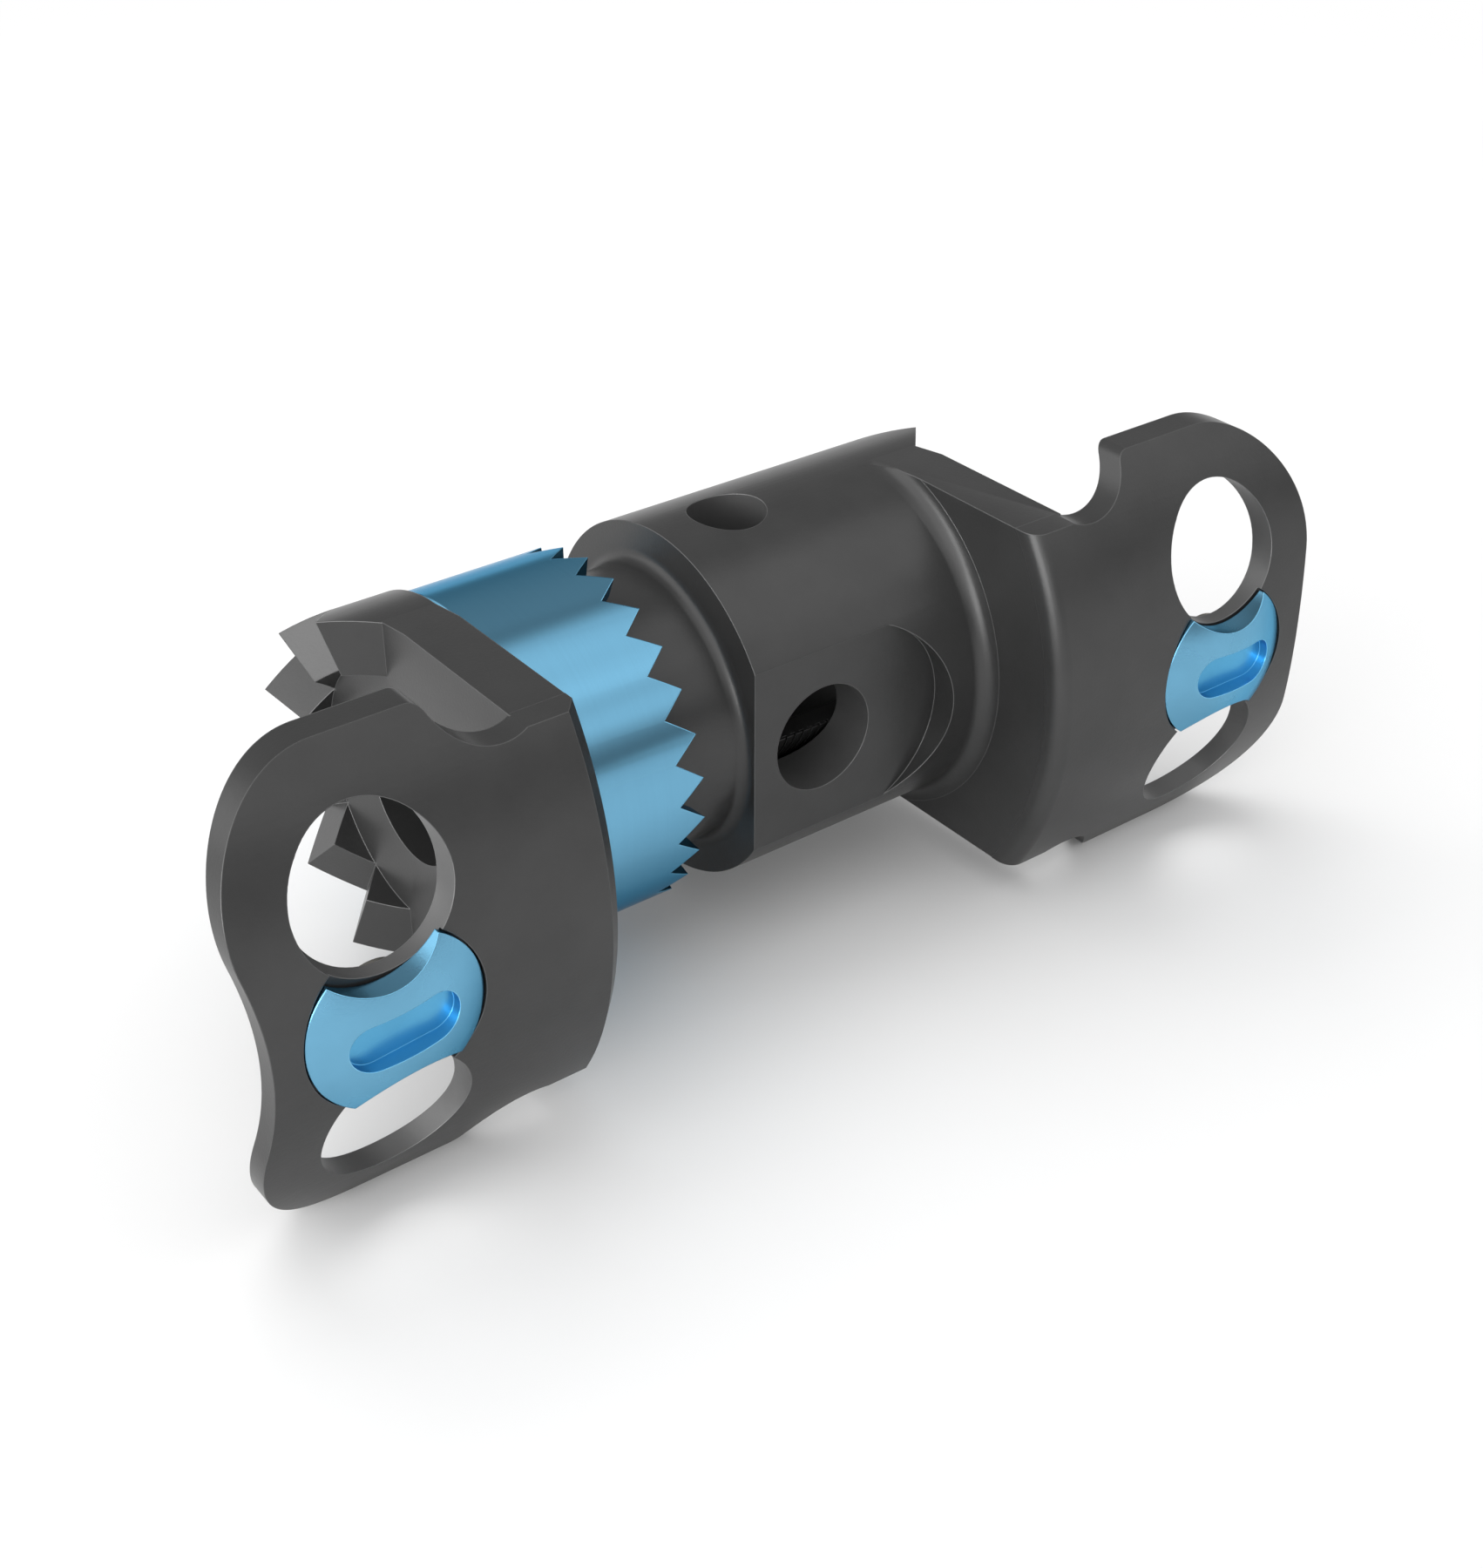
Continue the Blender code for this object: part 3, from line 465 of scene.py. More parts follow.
def arc(centre, radius, start, end, steps):
    """Points on an arc, from one angle to another, in degrees."""
    points = []
    for index in range(steps + 1):
        angle = math.radians(start + (end - start) * index / steps)
        points.append((centre[0] + radius * math.cos(angle), centre[1] + radius * math.sin(angle)))
    return points


def new_object(name, data):
    """A new object in the scene."""
    item = bpy.data.objects.new(name, data)
    bpy.context.scene.collection.objects.link(item)
    return item


def mesh_object(name, shape):
    """A new object in the scene from an editing mesh, which is freed."""
    mesh = bpy.data.meshes.new(name)
    shape.to_mesh(mesh)
    shape.free()
    return new_object(name, mesh)


def evaluated_mesh(item):
    """An object's shape with its modifiers, as a new mesh."""
    bpy.context.view_layer.update()
    graph = bpy.context.evaluated_depsgraph_get()
    return bpy.data.meshes.new_from_object(item.evaluated_get(graph))


def apply_change(item, change, clean=False):
    """Make a modifier's result the object's mesh, with its seams cleaned where asked."""
    mesh = evaluated_mesh(item)
    item.modifiers.remove(change)
    if clean:
        shape = bmesh.new()
        shape.from_mesh(mesh)
        bmesh.ops.remove_doubles(shape, verts=shape.verts, dist=SEAM_WELD)
        bmesh.ops.dissolve_degenerate(shape, edges=shape.edges, dist=SEAM_WELD)
        shape.to_mesh(mesh)
        shape.free()
    item.data = mesh


def bake(source, name, matrix):
    """Turn an object's evaluated shape into a plain mesh object at the given place."""
    mesh = evaluated_mesh(source)
    mesh.transform(matrix)
    shape = bmesh.new()
    shape.from_mesh(mesh)
    bmesh.ops.remove_doubles(shape, verts=shape.verts, dist=WELD)
    bmesh.ops.recalc_face_normals(shape, faces=shape.faces)
    shape.to_mesh(mesh)
    shape.free()
    mesh.name = name
    result = new_object(name, mesh)
    bpy.data.objects.remove(source, do_unlink=True)
    return result


# What turns a shape made along Z to one of the cage's axes
TO_AXIS = {
    "X": Matrix(((0, 0, 1), (1, 0, 0), (0, 1, 0))).to_4x4(),
    "-Y": Matrix(((1, 0, 0), (0, 0, -1), (0, 1, 0))).to_4x4(),
    "Y": Matrix(((-1, 0, 0), (0, 0, 1), (0, 1, 0))).to_4x4(),
    "Z": Matrix.Identity(4),
}


def prism(name, outline, axis, low, high):
    """Extrude a flat outline along X or Y between two places on that axis.

    The outline's points are (y, z) for a prism along X and (x, z) for one along Y.
    """
    curve = bpy.data.curves.new(name, "CURVE")
    curve.dimensions = "2D"
    curve.fill_mode = "BOTH"
    curve.extrude = (high - low) / 2.0
    spline = curve.splines.new("POLY")
    spline.points.add(len(outline) - 1)
    for point, place in zip(spline.points, outline):
        point.co = (place[0], place[1], 0.0, 1.0)
    spline.use_cyclic_u = True
    middle = (low + high) / 2.0
    if axis == "X":
        place = Matrix.Translation((middle, 0.0, 0.0)) @ TO_AXIS["X"]
    else:
        # Turned to -Y, so that the outline keeps its sides
        place = Matrix.Translation((0.0, middle, 0.0)) @ TO_AXIS["-Y"]
    return bake(new_object(name, curve), name, place)


def turned(name, profile, axis, steps=ROUND_STEPS, centre=(0.0, 0.0, 0.0)):
    """Turn a closed profile of (radius, place along the axis) about an axis.

    A profile that starts and ends on the axis is left open there. The shape is turned on
    by half a step, so that no facet edge lies on a plane of symmetry.
    """
    shape = bmesh.new()
    verts = [shape.verts.new((radius, 0.0, place)) for radius, place in profile]
    for first, second in zip(verts, verts[1:]):
        shape.edges.new((first, second))
    if profile[0][0] != 0.0 or profile[-1][0] != 0.0:
        shape.edges.new((verts[-1], verts[0]))
    source = mesh_object(name, shape)
    screw = source.modifiers.new("Turn", "SCREW")
    screw.angle = math.tau
    screw.steps = steps
    screw.render_steps = steps
    screw.use_merge_vertices = True
    screw.merge_threshold = WELD
    half_step = Matrix.Rotation(math.pi / steps, 4, "Z")
    return bake(source, name, Matrix.Translation(centre) @ TO_AXIS[axis] @ half_step)


def rod(name, radius, low, high, axis, centre=(0.0, 0.0, 0.0), steps=SMALL_STEPS):
    """A plain cylinder between two places on its axis."""
    shape = bmesh.new()
    bmesh.ops.create_cone(
        shape, cap_ends=True, segments=steps, radius1=radius, radius2=radius, depth=high - low)
    lift = Matrix.Translation((0.0, 0.0, (low + high) / 2.0))
    half_step = Matrix.Rotation(math.pi / steps, 4, "Z")
    return bake(mesh_object(name, shape), name,
                Matrix.Translation(centre) @ TO_AXIS[axis] @ lift @ half_step)


def block(name, low, high):
    """A box between two corners."""
    shape = bmesh.new()
    bmesh.ops.create_cube(shape, size=1.0)
    bmesh.ops.scale(shape, vec=Vector(high) - Vector(low), verts=shape.verts)
    return bake(mesh_object(name, shape), name,
                Matrix.Translation((Vector(low) + Vector(high)) / 2.0))


def combine(target, others, operation, crossing=False):
    """Apply Boolean cuts, joins or overlaps to a mesh, clean the seams, drop the cutters."""
    for other in others:
        change = target.modifiers.new(operation.title(), "BOOLEAN")
        change.operation = operation
        change.object = other
        change.solver = "EXACT"
        change.use_self = crossing
        change.material_mode = "TRANSFER"
        apply_change(target, change, clean=True)
        bpy.data.objects.remove(other, do_unlink=True)
    return target


def settle(shape, node, body):
    """Finish a piece: its place in its mesh, soft shading, its body and the node it stands for.

    A piece that is empty or open raises an error.
    """
    name = node + "_dressed"
    check = bmesh.new()
    check.from_mesh(shape.data)
    loose = [edge for edge in check.edges if not edge.is_manifold]
    faces = len(check.faces)
    check.free()
    if not faces or loose:
        raise RuntimeError(f"{name} has {faces} faces and {len(loose)} open edges")
    shape.name = name
    shape.data.name = name
    shape.data.transform(Matrix.Translation(AXIS_PLACE))
    shape.data.shade_smooth()
    shape.data.set_sharp_from_angle(angle=SMOOTH_ANGLE)
    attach(shape, body)
    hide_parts(node)


def painted(shape, use):
    """Give a shape one finish."""
    shape.data.materials.clear()
    shape.data.materials.append(finish(use))
    return shape


def grown(tree, shape, values):
    """Run a node tree on a shape with the given input values, and keep the result as its mesh."""
    change = shape.modifiers.new("Grown", "NODES")
    change.node_group = tree
    sockets = {item.name: item.identifier for item in tree.interface.items_tree
               if item.item_type == "SOCKET" and item.in_out == "INPUT"}
    for name, value in values.items():
        change[sockets[name]] = value
    apply_change(shape, change)
    return shape


def new_tree(name, sizes):
    """An empty geometry node tree with named inputs; returns it with its input node."""
    tree = bpy.data.node_groups.new(name, "GeometryNodeTree")
    tree.interface.new_socket("Geometry", in_out="INPUT", socket_type="NodeSocketGeometry")
    for label, default in sizes.items():
        kind = "NodeSocketInt" if isinstance(default, int) else "NodeSocketFloat"
        socket = tree.interface.new_socket(label, in_out="INPUT", socket_type=kind)
        socket.default_value = default
    tree.interface.new_socket("Material", in_out="INPUT", socket_type="NodeSocketMaterial")
    tree.interface.new_socket("Geometry", in_out="OUTPUT", socket_type="NodeSocketGeometry")
    return tree, add_node(tree, "NodeGroupInput")


def close_tree(tree, start, geometry):
    """End a tree in real geometry with its material."""
    real = add_node(tree, "GeometryNodeRealizeInstances", {"Geometry": geometry})
    coloured = add_node(tree, "GeometryNodeSetMaterial", {
        "Geometry": real.outputs[0], "Material": start.outputs["Material"]})
    add_node(tree, "NodeGroupOutput", {"Geometry": coloured.outputs[0]})
    return tree


def spaced_cuts_tree():
    """Copies of one cutter, evenly spaced round the X axis."""
    tree, start = new_tree("Cuts spaced round the axis", {
        "Count": CROWN_TEETH, "Spacing": math.pi / CROWN_TEETH, "First": 0.0})
    points = add_node(tree, "GeometryNodePoints", {"Count": start.outputs["Count"]})
    index = add_node(tree, "GeometryNodeInputIndex")
    turn = add_node(tree, "ShaderNodeMath", {
        0: index.outputs[0], 1: start.outputs["Spacing"], 2: start.outputs["First"]},
        operation="MULTIPLY_ADD")
    rotation = add_node(tree, "ShaderNodeCombineXYZ", {"X": turn.outputs[0]})
    copies = add_node(tree, "GeometryNodeInstanceOnPoints", {
        "Points": points.outputs[0], "Instance": start.outputs["Geometry"],
        "Rotation": rotation.outputs[0]})
    return close_tree(tree, start, copies.outputs[0])


def thread_tree():
    """A three-sided ridge that follows a helix round the Z axis."""
    tree, start = new_tree("Thread ridge", {
        "Middle radius": POST_RADIUS, "Pitch": THREAD_PITCH, "Turns": 1.0,
        "Depth": THREAD_DEPTH, "Steps": THREAD_STEPS})
    height = add_node(tree, "ShaderNodeMath", {
        0: start.outputs["Pitch"], 1: start.outputs["Turns"]}, operation="MULTIPLY")
    helix = add_node(tree, "GeometryNodeCurveSpiral", {
        "Resolution": start.outputs["Steps"], "Rotations": start.outputs["Turns"],
        "Start Radius": start.outputs["Middle radius"],
        "End Radius": start.outputs["Middle radius"], "Height": height.outputs[0]})
    level = add_node(tree, "GeometryNodeSetCurveNormal", {"Curve": helix.outputs[0]},
                     mode="Z_UP")
    # The ridge is an even three-sided bar, a sixth of it sunk below the root
    reach = add_node(tree, "ShaderNodeMath", {0: start.outputs["Depth"], 1: RIDGE_SHARE},
                     operation="MULTIPLY")
    ridge = add_node(tree, "GeometryNodeCurvePrimitiveCircle", {
        "Resolution": 3, "Radius": reach.outputs[0]}, mode="RADIUS")
    bar = add_node(tree, "GeometryNodeCurveToMesh", {
        "Curve": level.outputs[0], "Profile Curve": ridge.outputs[0], "Fill Caps": True})
    return close_tree(tree, start, bar.outputs[0])


def plate_arc(radius, half_height, steps):
    """Points (y, z) on a plate's curve, from its lower edge to its upper edge."""
    reach = math.degrees(math.asin(half_height / radius))
    return arc((PLATE_CENTRE_Y, 0.0), radius, 180.0 + reach, 180.0 - reach, steps)


def plate_outline(web_x, notch_x, lobe_x):
    """Outline (x, z) of one plate, from its root at the web to its free edge."""
    side = math.copysign(1.0, lobe_x - web_x)
    corner_z = LOBE_TOP - NOTCH_CORNER
    joined = NOTCH_RADIUS + NOTCH_CORNER
    corner_reach = math.sqrt(joined ** 2 - (NOTCH_Z - corner_z) ** 2)
    notch_start = -180.0 + math.degrees(math.asin((NOTCH_Z - WEB_HALF_HEIGHT) / NOTCH_RADIUS))
    notch_end = math.degrees(math.atan2(corner_z - NOTCH_Z, corner_reach))
    waist_radius = (WAIST_OFFSET ** 2 + LOBE_Z ** 2 - LOBE_RADIUS ** 2) / (
        2.0 * (LOBE_RADIUS - WAIST_OFFSET))
    waist_angle = math.degrees(math.atan2(LOBE_Z, waist_radius + WAIST_OFFSET))
    outward = abs(lobe_x)
    upper = [(abs(web_x), WEB_HALF_HEIGHT)]
    upper += arc((abs(notch_x), NOTCH_Z), NOTCH_RADIUS, notch_start, notch_end, LOBE_STEPS)
    upper += arc((abs(notch_x) + corner_reach, corner_z), NOTCH_CORNER,
                 180.0 + notch_end, 90.0, CORNER_STEPS)[1:]
    upper += arc((outward, LOBE_Z), LOBE_RADIUS, 90.0, -waist_angle, LOBE_STEPS)
    upper += arc((outward + waist_radius + WAIST_OFFSET, 0.0), waist_radius,
                 180.0 - waist_angle, 180.0, CORNER_STEPS)[1:]
    lower = [(x, -z) for x, z in reversed(upper[:-1])]
    return [(side * x, z) for x, z in upper + lower]


def screw_seat(name, hole_x, hole_z):
    """Cutter for one screw hole: a straight mouth, a conical seat and a thin rear lip."""
    front = PLATE_CENTRE_Y - math.sqrt(PLATE_RADIUS ** 2 - hole_z ** 2)
    rear = PLATE_CENTRE_Y - math.sqrt(PLATE_REAR_RADIUS ** 2 - hole_z ** 2)
    profile = [
        (0.0, REACH),
        (SCREW_FRONT_RADIUS, REACH),
        (SCREW_FRONT_RADIUS, -front),
        (SCREW_REAR_RADIUS, -rear + SCREW_LIP),
        (SCREW_REAR_RADIUS, PLATE_CENTRE_Y),
        (0.0, PLATE_CENTRE_Y),
    ]
    # The seat's walls take the bore finish, painted lighter to lift their shade
    return painted(turned(name, profile, "-Y", SMALL_STEPS, (hole_x, 0.0, hole_z)), "bore")


def web_section(half):
    """Outline (y, z) of a web, from inside the round rear part to inside the plate."""
    start_z = math.sqrt(BODY_RADIUS ** 2 - WEB_BLEND_START ** 2) - WEB_INSET
    front = plate_arc(PLATE_REAR_RADIUS + PLATE_BITE, half, WEB_STEPS)
    lower = [(WEB_BLEND_START, -start_z), (WEB_BLEND_END, -half)]
    upper = [(WEB_BLEND_END, half), (WEB_BLEND_START, start_z)]
    return lower + front + upper


def round_root(plate, web_x, width, steps):
    """Chamfer or round the outer edge where the plate ends at the web's inner face."""
    shape = bmesh.new()
    shape.from_mesh(plate.data)
    weights = shape.edges.layers.float.new("bevel_weight_edge")
    for edge in shape.edges:
        on_edge = True
        for vert in edge.verts:
            spread = math.hypot(vert.co.y - PLATE_CENTRE_Y, vert.co.z)
            on_edge = on_edge and abs(vert.co.x - web_x) < SEAM / 2.0
            on_edge = on_edge and abs(spread - PLATE_RADIUS) < FRONT_TOLERANCE
        edge[weights] = 1.0 if on_edge else 0.0
    shape.to_mesh(plate.data)
    shape.free()
    bevel = plate.modifiers.new("Root edge", "BEVEL")
    bevel.limit_method = "WEIGHT"
    bevel.width = width
    bevel.segments = steps
    bevel.use_clamp_overlap = False
    apply_change(plate, bevel, clean=True)


def web_and_plate(name, web_x, face_x, hole_x, notch_x, lobe_x, rounding, rounding_steps):
    """One end's plate and the web behind it, joined, with the screw holes and cam recess."""
    behind = PLATE_CENTRE_Y - PLATE_REAR_RADIUS / 2.0
    plate = prism(name, plate_outline(web_x, notch_x, lobe_x), "Y", PLATE_FRONT_Y - MM, behind)
    shell_half = LOBE_TOP + PLATE_OVERLAP
    shell_outline = plate_arc(PLATE_RADIUS, shell_half, PLATE_STEPS)
    shell_outline += reversed(plate_arc(PLATE_REAR_RADIUS, shell_half, PLATE_STEPS))
    shell = prism(name + "_shell", shell_outline, "X",
                  min(web_x, lobe_x) - LOBE_RADIUS - SHELL_MARGIN,
                  max(web_x, lobe_x) + LOBE_RADIUS + SHELL_MARGIN)
    combine(plate, [shell], "INTERSECT")
    ends = sorted((web_x + math.copysign(SEAM, face_x - web_x), face_x))
    web = prism(name + "_web", web_section(WEB_HALF_HEIGHT - SEAM), "X", *ends)
    combine(plate, [web], "UNION")
    round_root(plate, web_x, rounding, rounding_steps)
    place = (hole_x, 0.0, 0.0)
    return combine(plate, [
        screw_seat(name + "_seat_upper", hole_x, SCREW_Z),
        screw_seat(name + "_seat_lower", hole_x, -SCREW_Z),
        rod(name + "_recess", CAM_RADIUS + CAM_GAP, PLATE_FRONT_Y - MM,
            PLATE_FRONT_Y + RECESS_DEPTH, "Y", place, ROUND_STEPS),
        rod(name + "_shank_hole", CAM_SHANK_RADIUS + RUNNING_GAP, PLATE_FRONT_Y, behind,
            "Y", place),
    ], "DIFFERENCE")


def web_fillet():
    """Fillet between the tube and the caudal web, within the web's own outline."""
    rise = arc((CAUDAL_WEB_X - CAUDAL_FILLET, BODY_RADIUS + CAUDAL_FILLET), CAUDAL_FILLET,
               -90.0, 0.0, FILLET_STEPS)
    core = BODY_RADIUS - MM
    profile = [(core, rise[0][0] - SEAM), (BODY_RADIUS - SEAM, rise[0][0] - SEAM)]
    profile += [(radius, place) for place, radius in rise[1:]]
    profile += [(BODY_RADIUS + CAUDAL_FILLET, CAUDAL_WEB_X + MM), (core, CAUDAL_WEB_X + MM)]
    profile.reverse()
    fillet = turned("web_fillet", profile, "X")
    keep = prism("web_fillet_keep", web_section(WEB_HALF_HEIGHT - 2.0 * SEAM), "X",
                 CAUDAL_WEB_X - REACH, CAUDAL_WEB_X + REACH)
    return combine(fillet, [keep], "INTERSECT")


def valley_cuts(name, outline, start_y, end_y, count, spacing, first):
    """V cuts between teeth, made once and spaced round the axis."""
    cut = prism(name, outline, "Y", start_y, end_y)
    return grown(spaced_cuts_tree(), cut, {
        "Count": count, "Spacing": math.radians(spacing), "First": math.radians(first),
        "Material": finish("grey")})


def cut_crown(core, name, face_x, side):
    """Cut one end of a turned core into its toothed crown."""
    tip_x = face_x + side * CROWN_HEIGHT
    clear_x = tip_x + side * MM
    inner_x = face_x - side * SEAM
    front = block(name + "_front",
                  (min(inner_x, clear_x), -BODY_RADIUS - MM, -BODY_RADIUS - MM),
                  (max(inner_x, clear_x), 0.0, BODY_RADIUS + MM))
    teeth = bpy.context.scene.cage_sizes.crown_teeth
    pitch = 180.0 / teeth
    half_width = BODY_RADIUS * math.sin(math.radians(pitch / 2.0))
    reach = CROWN_HEIGHT + 2.0 * SEAM + RUNNING_GAP
    spread = half_width * reach / CROWN_HEIGHT
    root_x = face_x - side * 2.0 * SEAM
    outline = [(root_x, 0.0), (root_x + side * reach, spread), (root_x + side * reach, -spread)]
    combine(core, [front], "DIFFERENCE")
    valleys = valley_cuts(name + "_valleys", outline, CROWN_BORE / 2.0, BODY_RADIUS + MM,
                          teeth + 1, -pitch, 90.0)
    combine(core, [valleys], "DIFFERENCE", crossing=True)


def dish_cutter(name, face_x, side, hole_end):
    """Cutter for the crown's bore, the conical dish and the hole in its middle."""
    tip_x = face_x + side * (CROWN_HEIGHT + MM)
    profile = [
        (0.0, tip_x),
        (CROWN_BORE, tip_x),
        (CROWN_BORE, face_x),
        (END_HOLE_RADIUS, face_x - side * DISH_DEPTH),
        (END_HOLE_RADIUS, hole_end),
        (0.0, hole_end),
    ]
    return turned(name, profile, "X")


def outer_body():
    """Tube, neck, caudal web, plate and crown in one piece."""
    tip_x = CAUDAL_FACE_X + CROWN_HEIGHT
    groove_low = RETAINER_X - RETAINER_WIDTH / 2.0 - SEAT_GAP
    groove_high = RETAINER_X + RETAINER_WIDTH / 2.0 + SEAT_GAP
    groove_radius = RETAINER_INNER - RUNNING_GAP
    fillet = arc((-NECK_FILLET, NECK_RADIUS + NECK_FILLET), NECK_FILLET, -90.0, 0.0, FILLET_STEPS)
    profile = [
        (0.0, -NECK_LENGTH),
        (NECK_RADIUS, -NECK_LENGTH),
        (NECK_RADIUS, groove_low),
        (groove_radius, groove_low),
        (groove_radius, groove_high),
        (NECK_RADIUS, groove_high),
    ]
    profile += [(radius, place) for place, radius in fillet]
    profile += [(BODY_RADIUS, 0.0), (BODY_RADIUS, tip_x), (0.0, tip_x)]
    profile.reverse()
    body = painted(turned("outer_body", profile, "X"), "grey")
    cut_crown(body, "caudal_crown", CAUDAL_FACE_X, 1.0)
    end = web_and_plate("caudal_plate", CAUDAL_WEB_X, CAUDAL_FACE_X, CAUDAL_HOLE_X,
                        CAUDAL_NOTCH_X, CAUDAL_LOBE_X, CAUDAL_ROUNDING, ROOT_STEPS)
    combine(body, [end, web_fillet()], "UNION")
    flat_outline = arc((FLAT_END_X, 0.0), FLAT_END_RADIUS, -90.0, 90.0, SMALL_STEPS)
    flat_outline = [(-REACH, -FLAT_END_RADIUS), *flat_outline, (-REACH, FLAT_END_RADIUS)]
    outside = BODY_RADIUS + MM
    port = (PORT_X, 0.0, 0.0)
    combine(body, [
        # The bores and ports take the bore finish, painted lighter to lift the shade inside them
        painted(rod("body_bore", BODY_BORE, -NECK_LENGTH - MM, BODY_BORE_END, "X",
                    steps=ROUND_STEPS), "bore"),
        prism("flat_cutter", flat_outline, "Y", -outside, FLAT_Y),
        painted(rod("tool_port", TOOL_PORT_RADIUS, 0.0, outside, "-Y", port, ROUND_STEPS),
                "bore"),
        painted(rod("graft_ports", GRAFT_PORT_RADIUS, -outside, outside, "Z", port), "bore"),
        painted(rod("pin_hole", PIN_RADIUS + SEAT_GAP, 0.0, outside, "Y", (PIN_X, 0.0, 0.0)),
                "bore"),
        dish_cutter("caudal_dish", CAUDAL_FACE_X, 1.0, BODY_BORE_END - MM),
    ], "DIFFERENCE")
    settle(body, "outer_body", "cage_body")


def post_thread():
    """The post's outer thread, from just outside the web to just short of the end."""
    size = bpy.context.scene.cage_sizes
    start_x = CRANIAL_WEB_X + RUNNING_GAP
    length = POST_END_X - RUNNING_GAP - start_x
    ridge = new_object("post_thread", bpy.data.meshes.new("post_thread"))
    grown(thread_tree(), ridge, {
        "Middle radius": POST_RADIUS - RIDGE_SHARE * size.thread_depth,
        "Pitch": size.thread_pitch, "Turns": length / size.thread_pitch,
        "Depth": size.thread_depth, "Steps": THREAD_STEPS, "Material": finish("grey")})
    ridge.data.transform(Matrix.Translation((start_x, 0.0, 0.0)) @ TO_AXIS["X"])
    return ridge


def cranial_end():
    """Sliding end piece: web, plate, crown and the hollow post with its real thread."""
    core = POST_RADIUS - bpy.context.scene.cage_sizes.thread_depth
    tip_x = CRANIAL_FACE_X - CROWN_HEIGHT
    inner_x = CRANIAL_WEB_X - SEAM
    profile = [
        (0.0, tip_x),
        (BODY_RADIUS, tip_x),
        (BODY_RADIUS, inner_x),
        (core, inner_x),
        (core, POST_END_X),
        (0.0, POST_END_X),
    ]
    profile.reverse()
    piece = painted(turned("cranial_end", profile, "X"), "grey")
    cut_crown(piece, "cranial_crown", CRANIAL_FACE_X, -1.0)
    end = web_and_plate("cranial_plate", CRANIAL_WEB_X, CRANIAL_FACE_X, CRANIAL_HOLE_X,
                        CRANIAL_NOTCH_X, CRANIAL_LOBE_X, CRANIAL_CHAMFER, 1)
    combine(piece, [end, post_thread()], "UNION")
    pin_room = PIN_RADIUS + RUNNING_GAP
    combine(piece, [
        block("keyway", (PIN_X - PIN_RADIUS - RUNNING_GAP, POST_RADIUS - KEYWAY_DEPTH, -pin_room),
              (PIN_X + TRAVEL + PIN_RADIUS + RUNNING_GAP, BODY_RADIUS, pin_room)),
        block("window", (POST_SLOT_START, -BODY_RADIUS, -POST_SLOT_HALF),
              (POST_SLOT_END, 0.0, POST_SLOT_HALF)),
        dish_cutter("cranial_dish", CRANIAL_FACE_X, -1.0, POST_END_X + MM),
    ], "DIFFERENCE")
    settle(piece, "cranial_end", "sliding_end")


def adjusting_ring():
    """Nut with crown teeth, turned from its bore outwards, then cut tooth by tooth."""
    size = bpy.context.scene.cage_sizes
    start_x = CRANIAL_WEB_X + RUNNING_GAP
    shoulder_x = -NECK_LENGTH - RING_FLOOR_GAP
    valley_x = RING_TIP_X - size.ring_tooth_height
    mouth_x = RING_TIP_X - RING_MOUTH_LENGTH
    groove_low = RETAINER_X - RETAINER_WIDTH / 2.0 - RUNNING_GAP
    groove_high = RETAINER_X + RETAINER_WIDTH / 2.0 + RUNNING_GAP
    groove_radius = RETAINER_OUTER + RUNNING_GAP
    thread_radius = POST_RADIUS + RUNNING_GAP
    bearing_radius = NECK_RADIUS + RUNNING_GAP
    mouth_radius = RING_RADIUS - RING_MOUTH_WALL
    profile = [
        (thread_radius, start_x + RING_CHAMFER),
        (thread_radius + RING_CHAMFER, start_x),
        (RING_RADIUS - RING_CHAMFER, start_x),
        (RING_RADIUS, start_x + RING_CHAMFER),
        (RING_RADIUS, RING_TIP_X),
        (mouth_radius, RING_TIP_X),
        (mouth_radius, mouth_x),
        (bearing_radius, mouth_x),
        (bearing_radius, groove_high),
        (groove_radius, groove_high),
        (groove_radius, groove_low),
        (bearing_radius, groove_low),
        (bearing_radius, shoulder_x),
        (thread_radius, shoulder_x),
    ]
    profile.reverse()
    ring = turned("adjusting_ring_shape", profile, "X", size.ring_teeth * STEPS_PER_TOOTH)
    painted(ring, "ring")
    pitch = 360.0 / size.ring_teeth
    half_width = RING_RADIUS * math.tan(math.radians(pitch / 2.0))
    reach = size.ring_tooth_height + RUNNING_GAP
    spread = half_width * reach / size.ring_tooth_height
    outline = [(valley_x, 0.0), (valley_x + reach, spread), (valley_x + reach, -spread)]
    valleys = valley_cuts("ring_valleys", outline, mouth_radius - MM, RING_RADIUS + MM,
                          size.ring_teeth, pitch, 90.0 + RING_TOOTH_PHASE + pitch / 2.0)
    combine(ring, [painted(valleys, "ring")], "DIFFERENCE", crossing=True)
    settle(ring, "adjusting_ring", "ring_body")


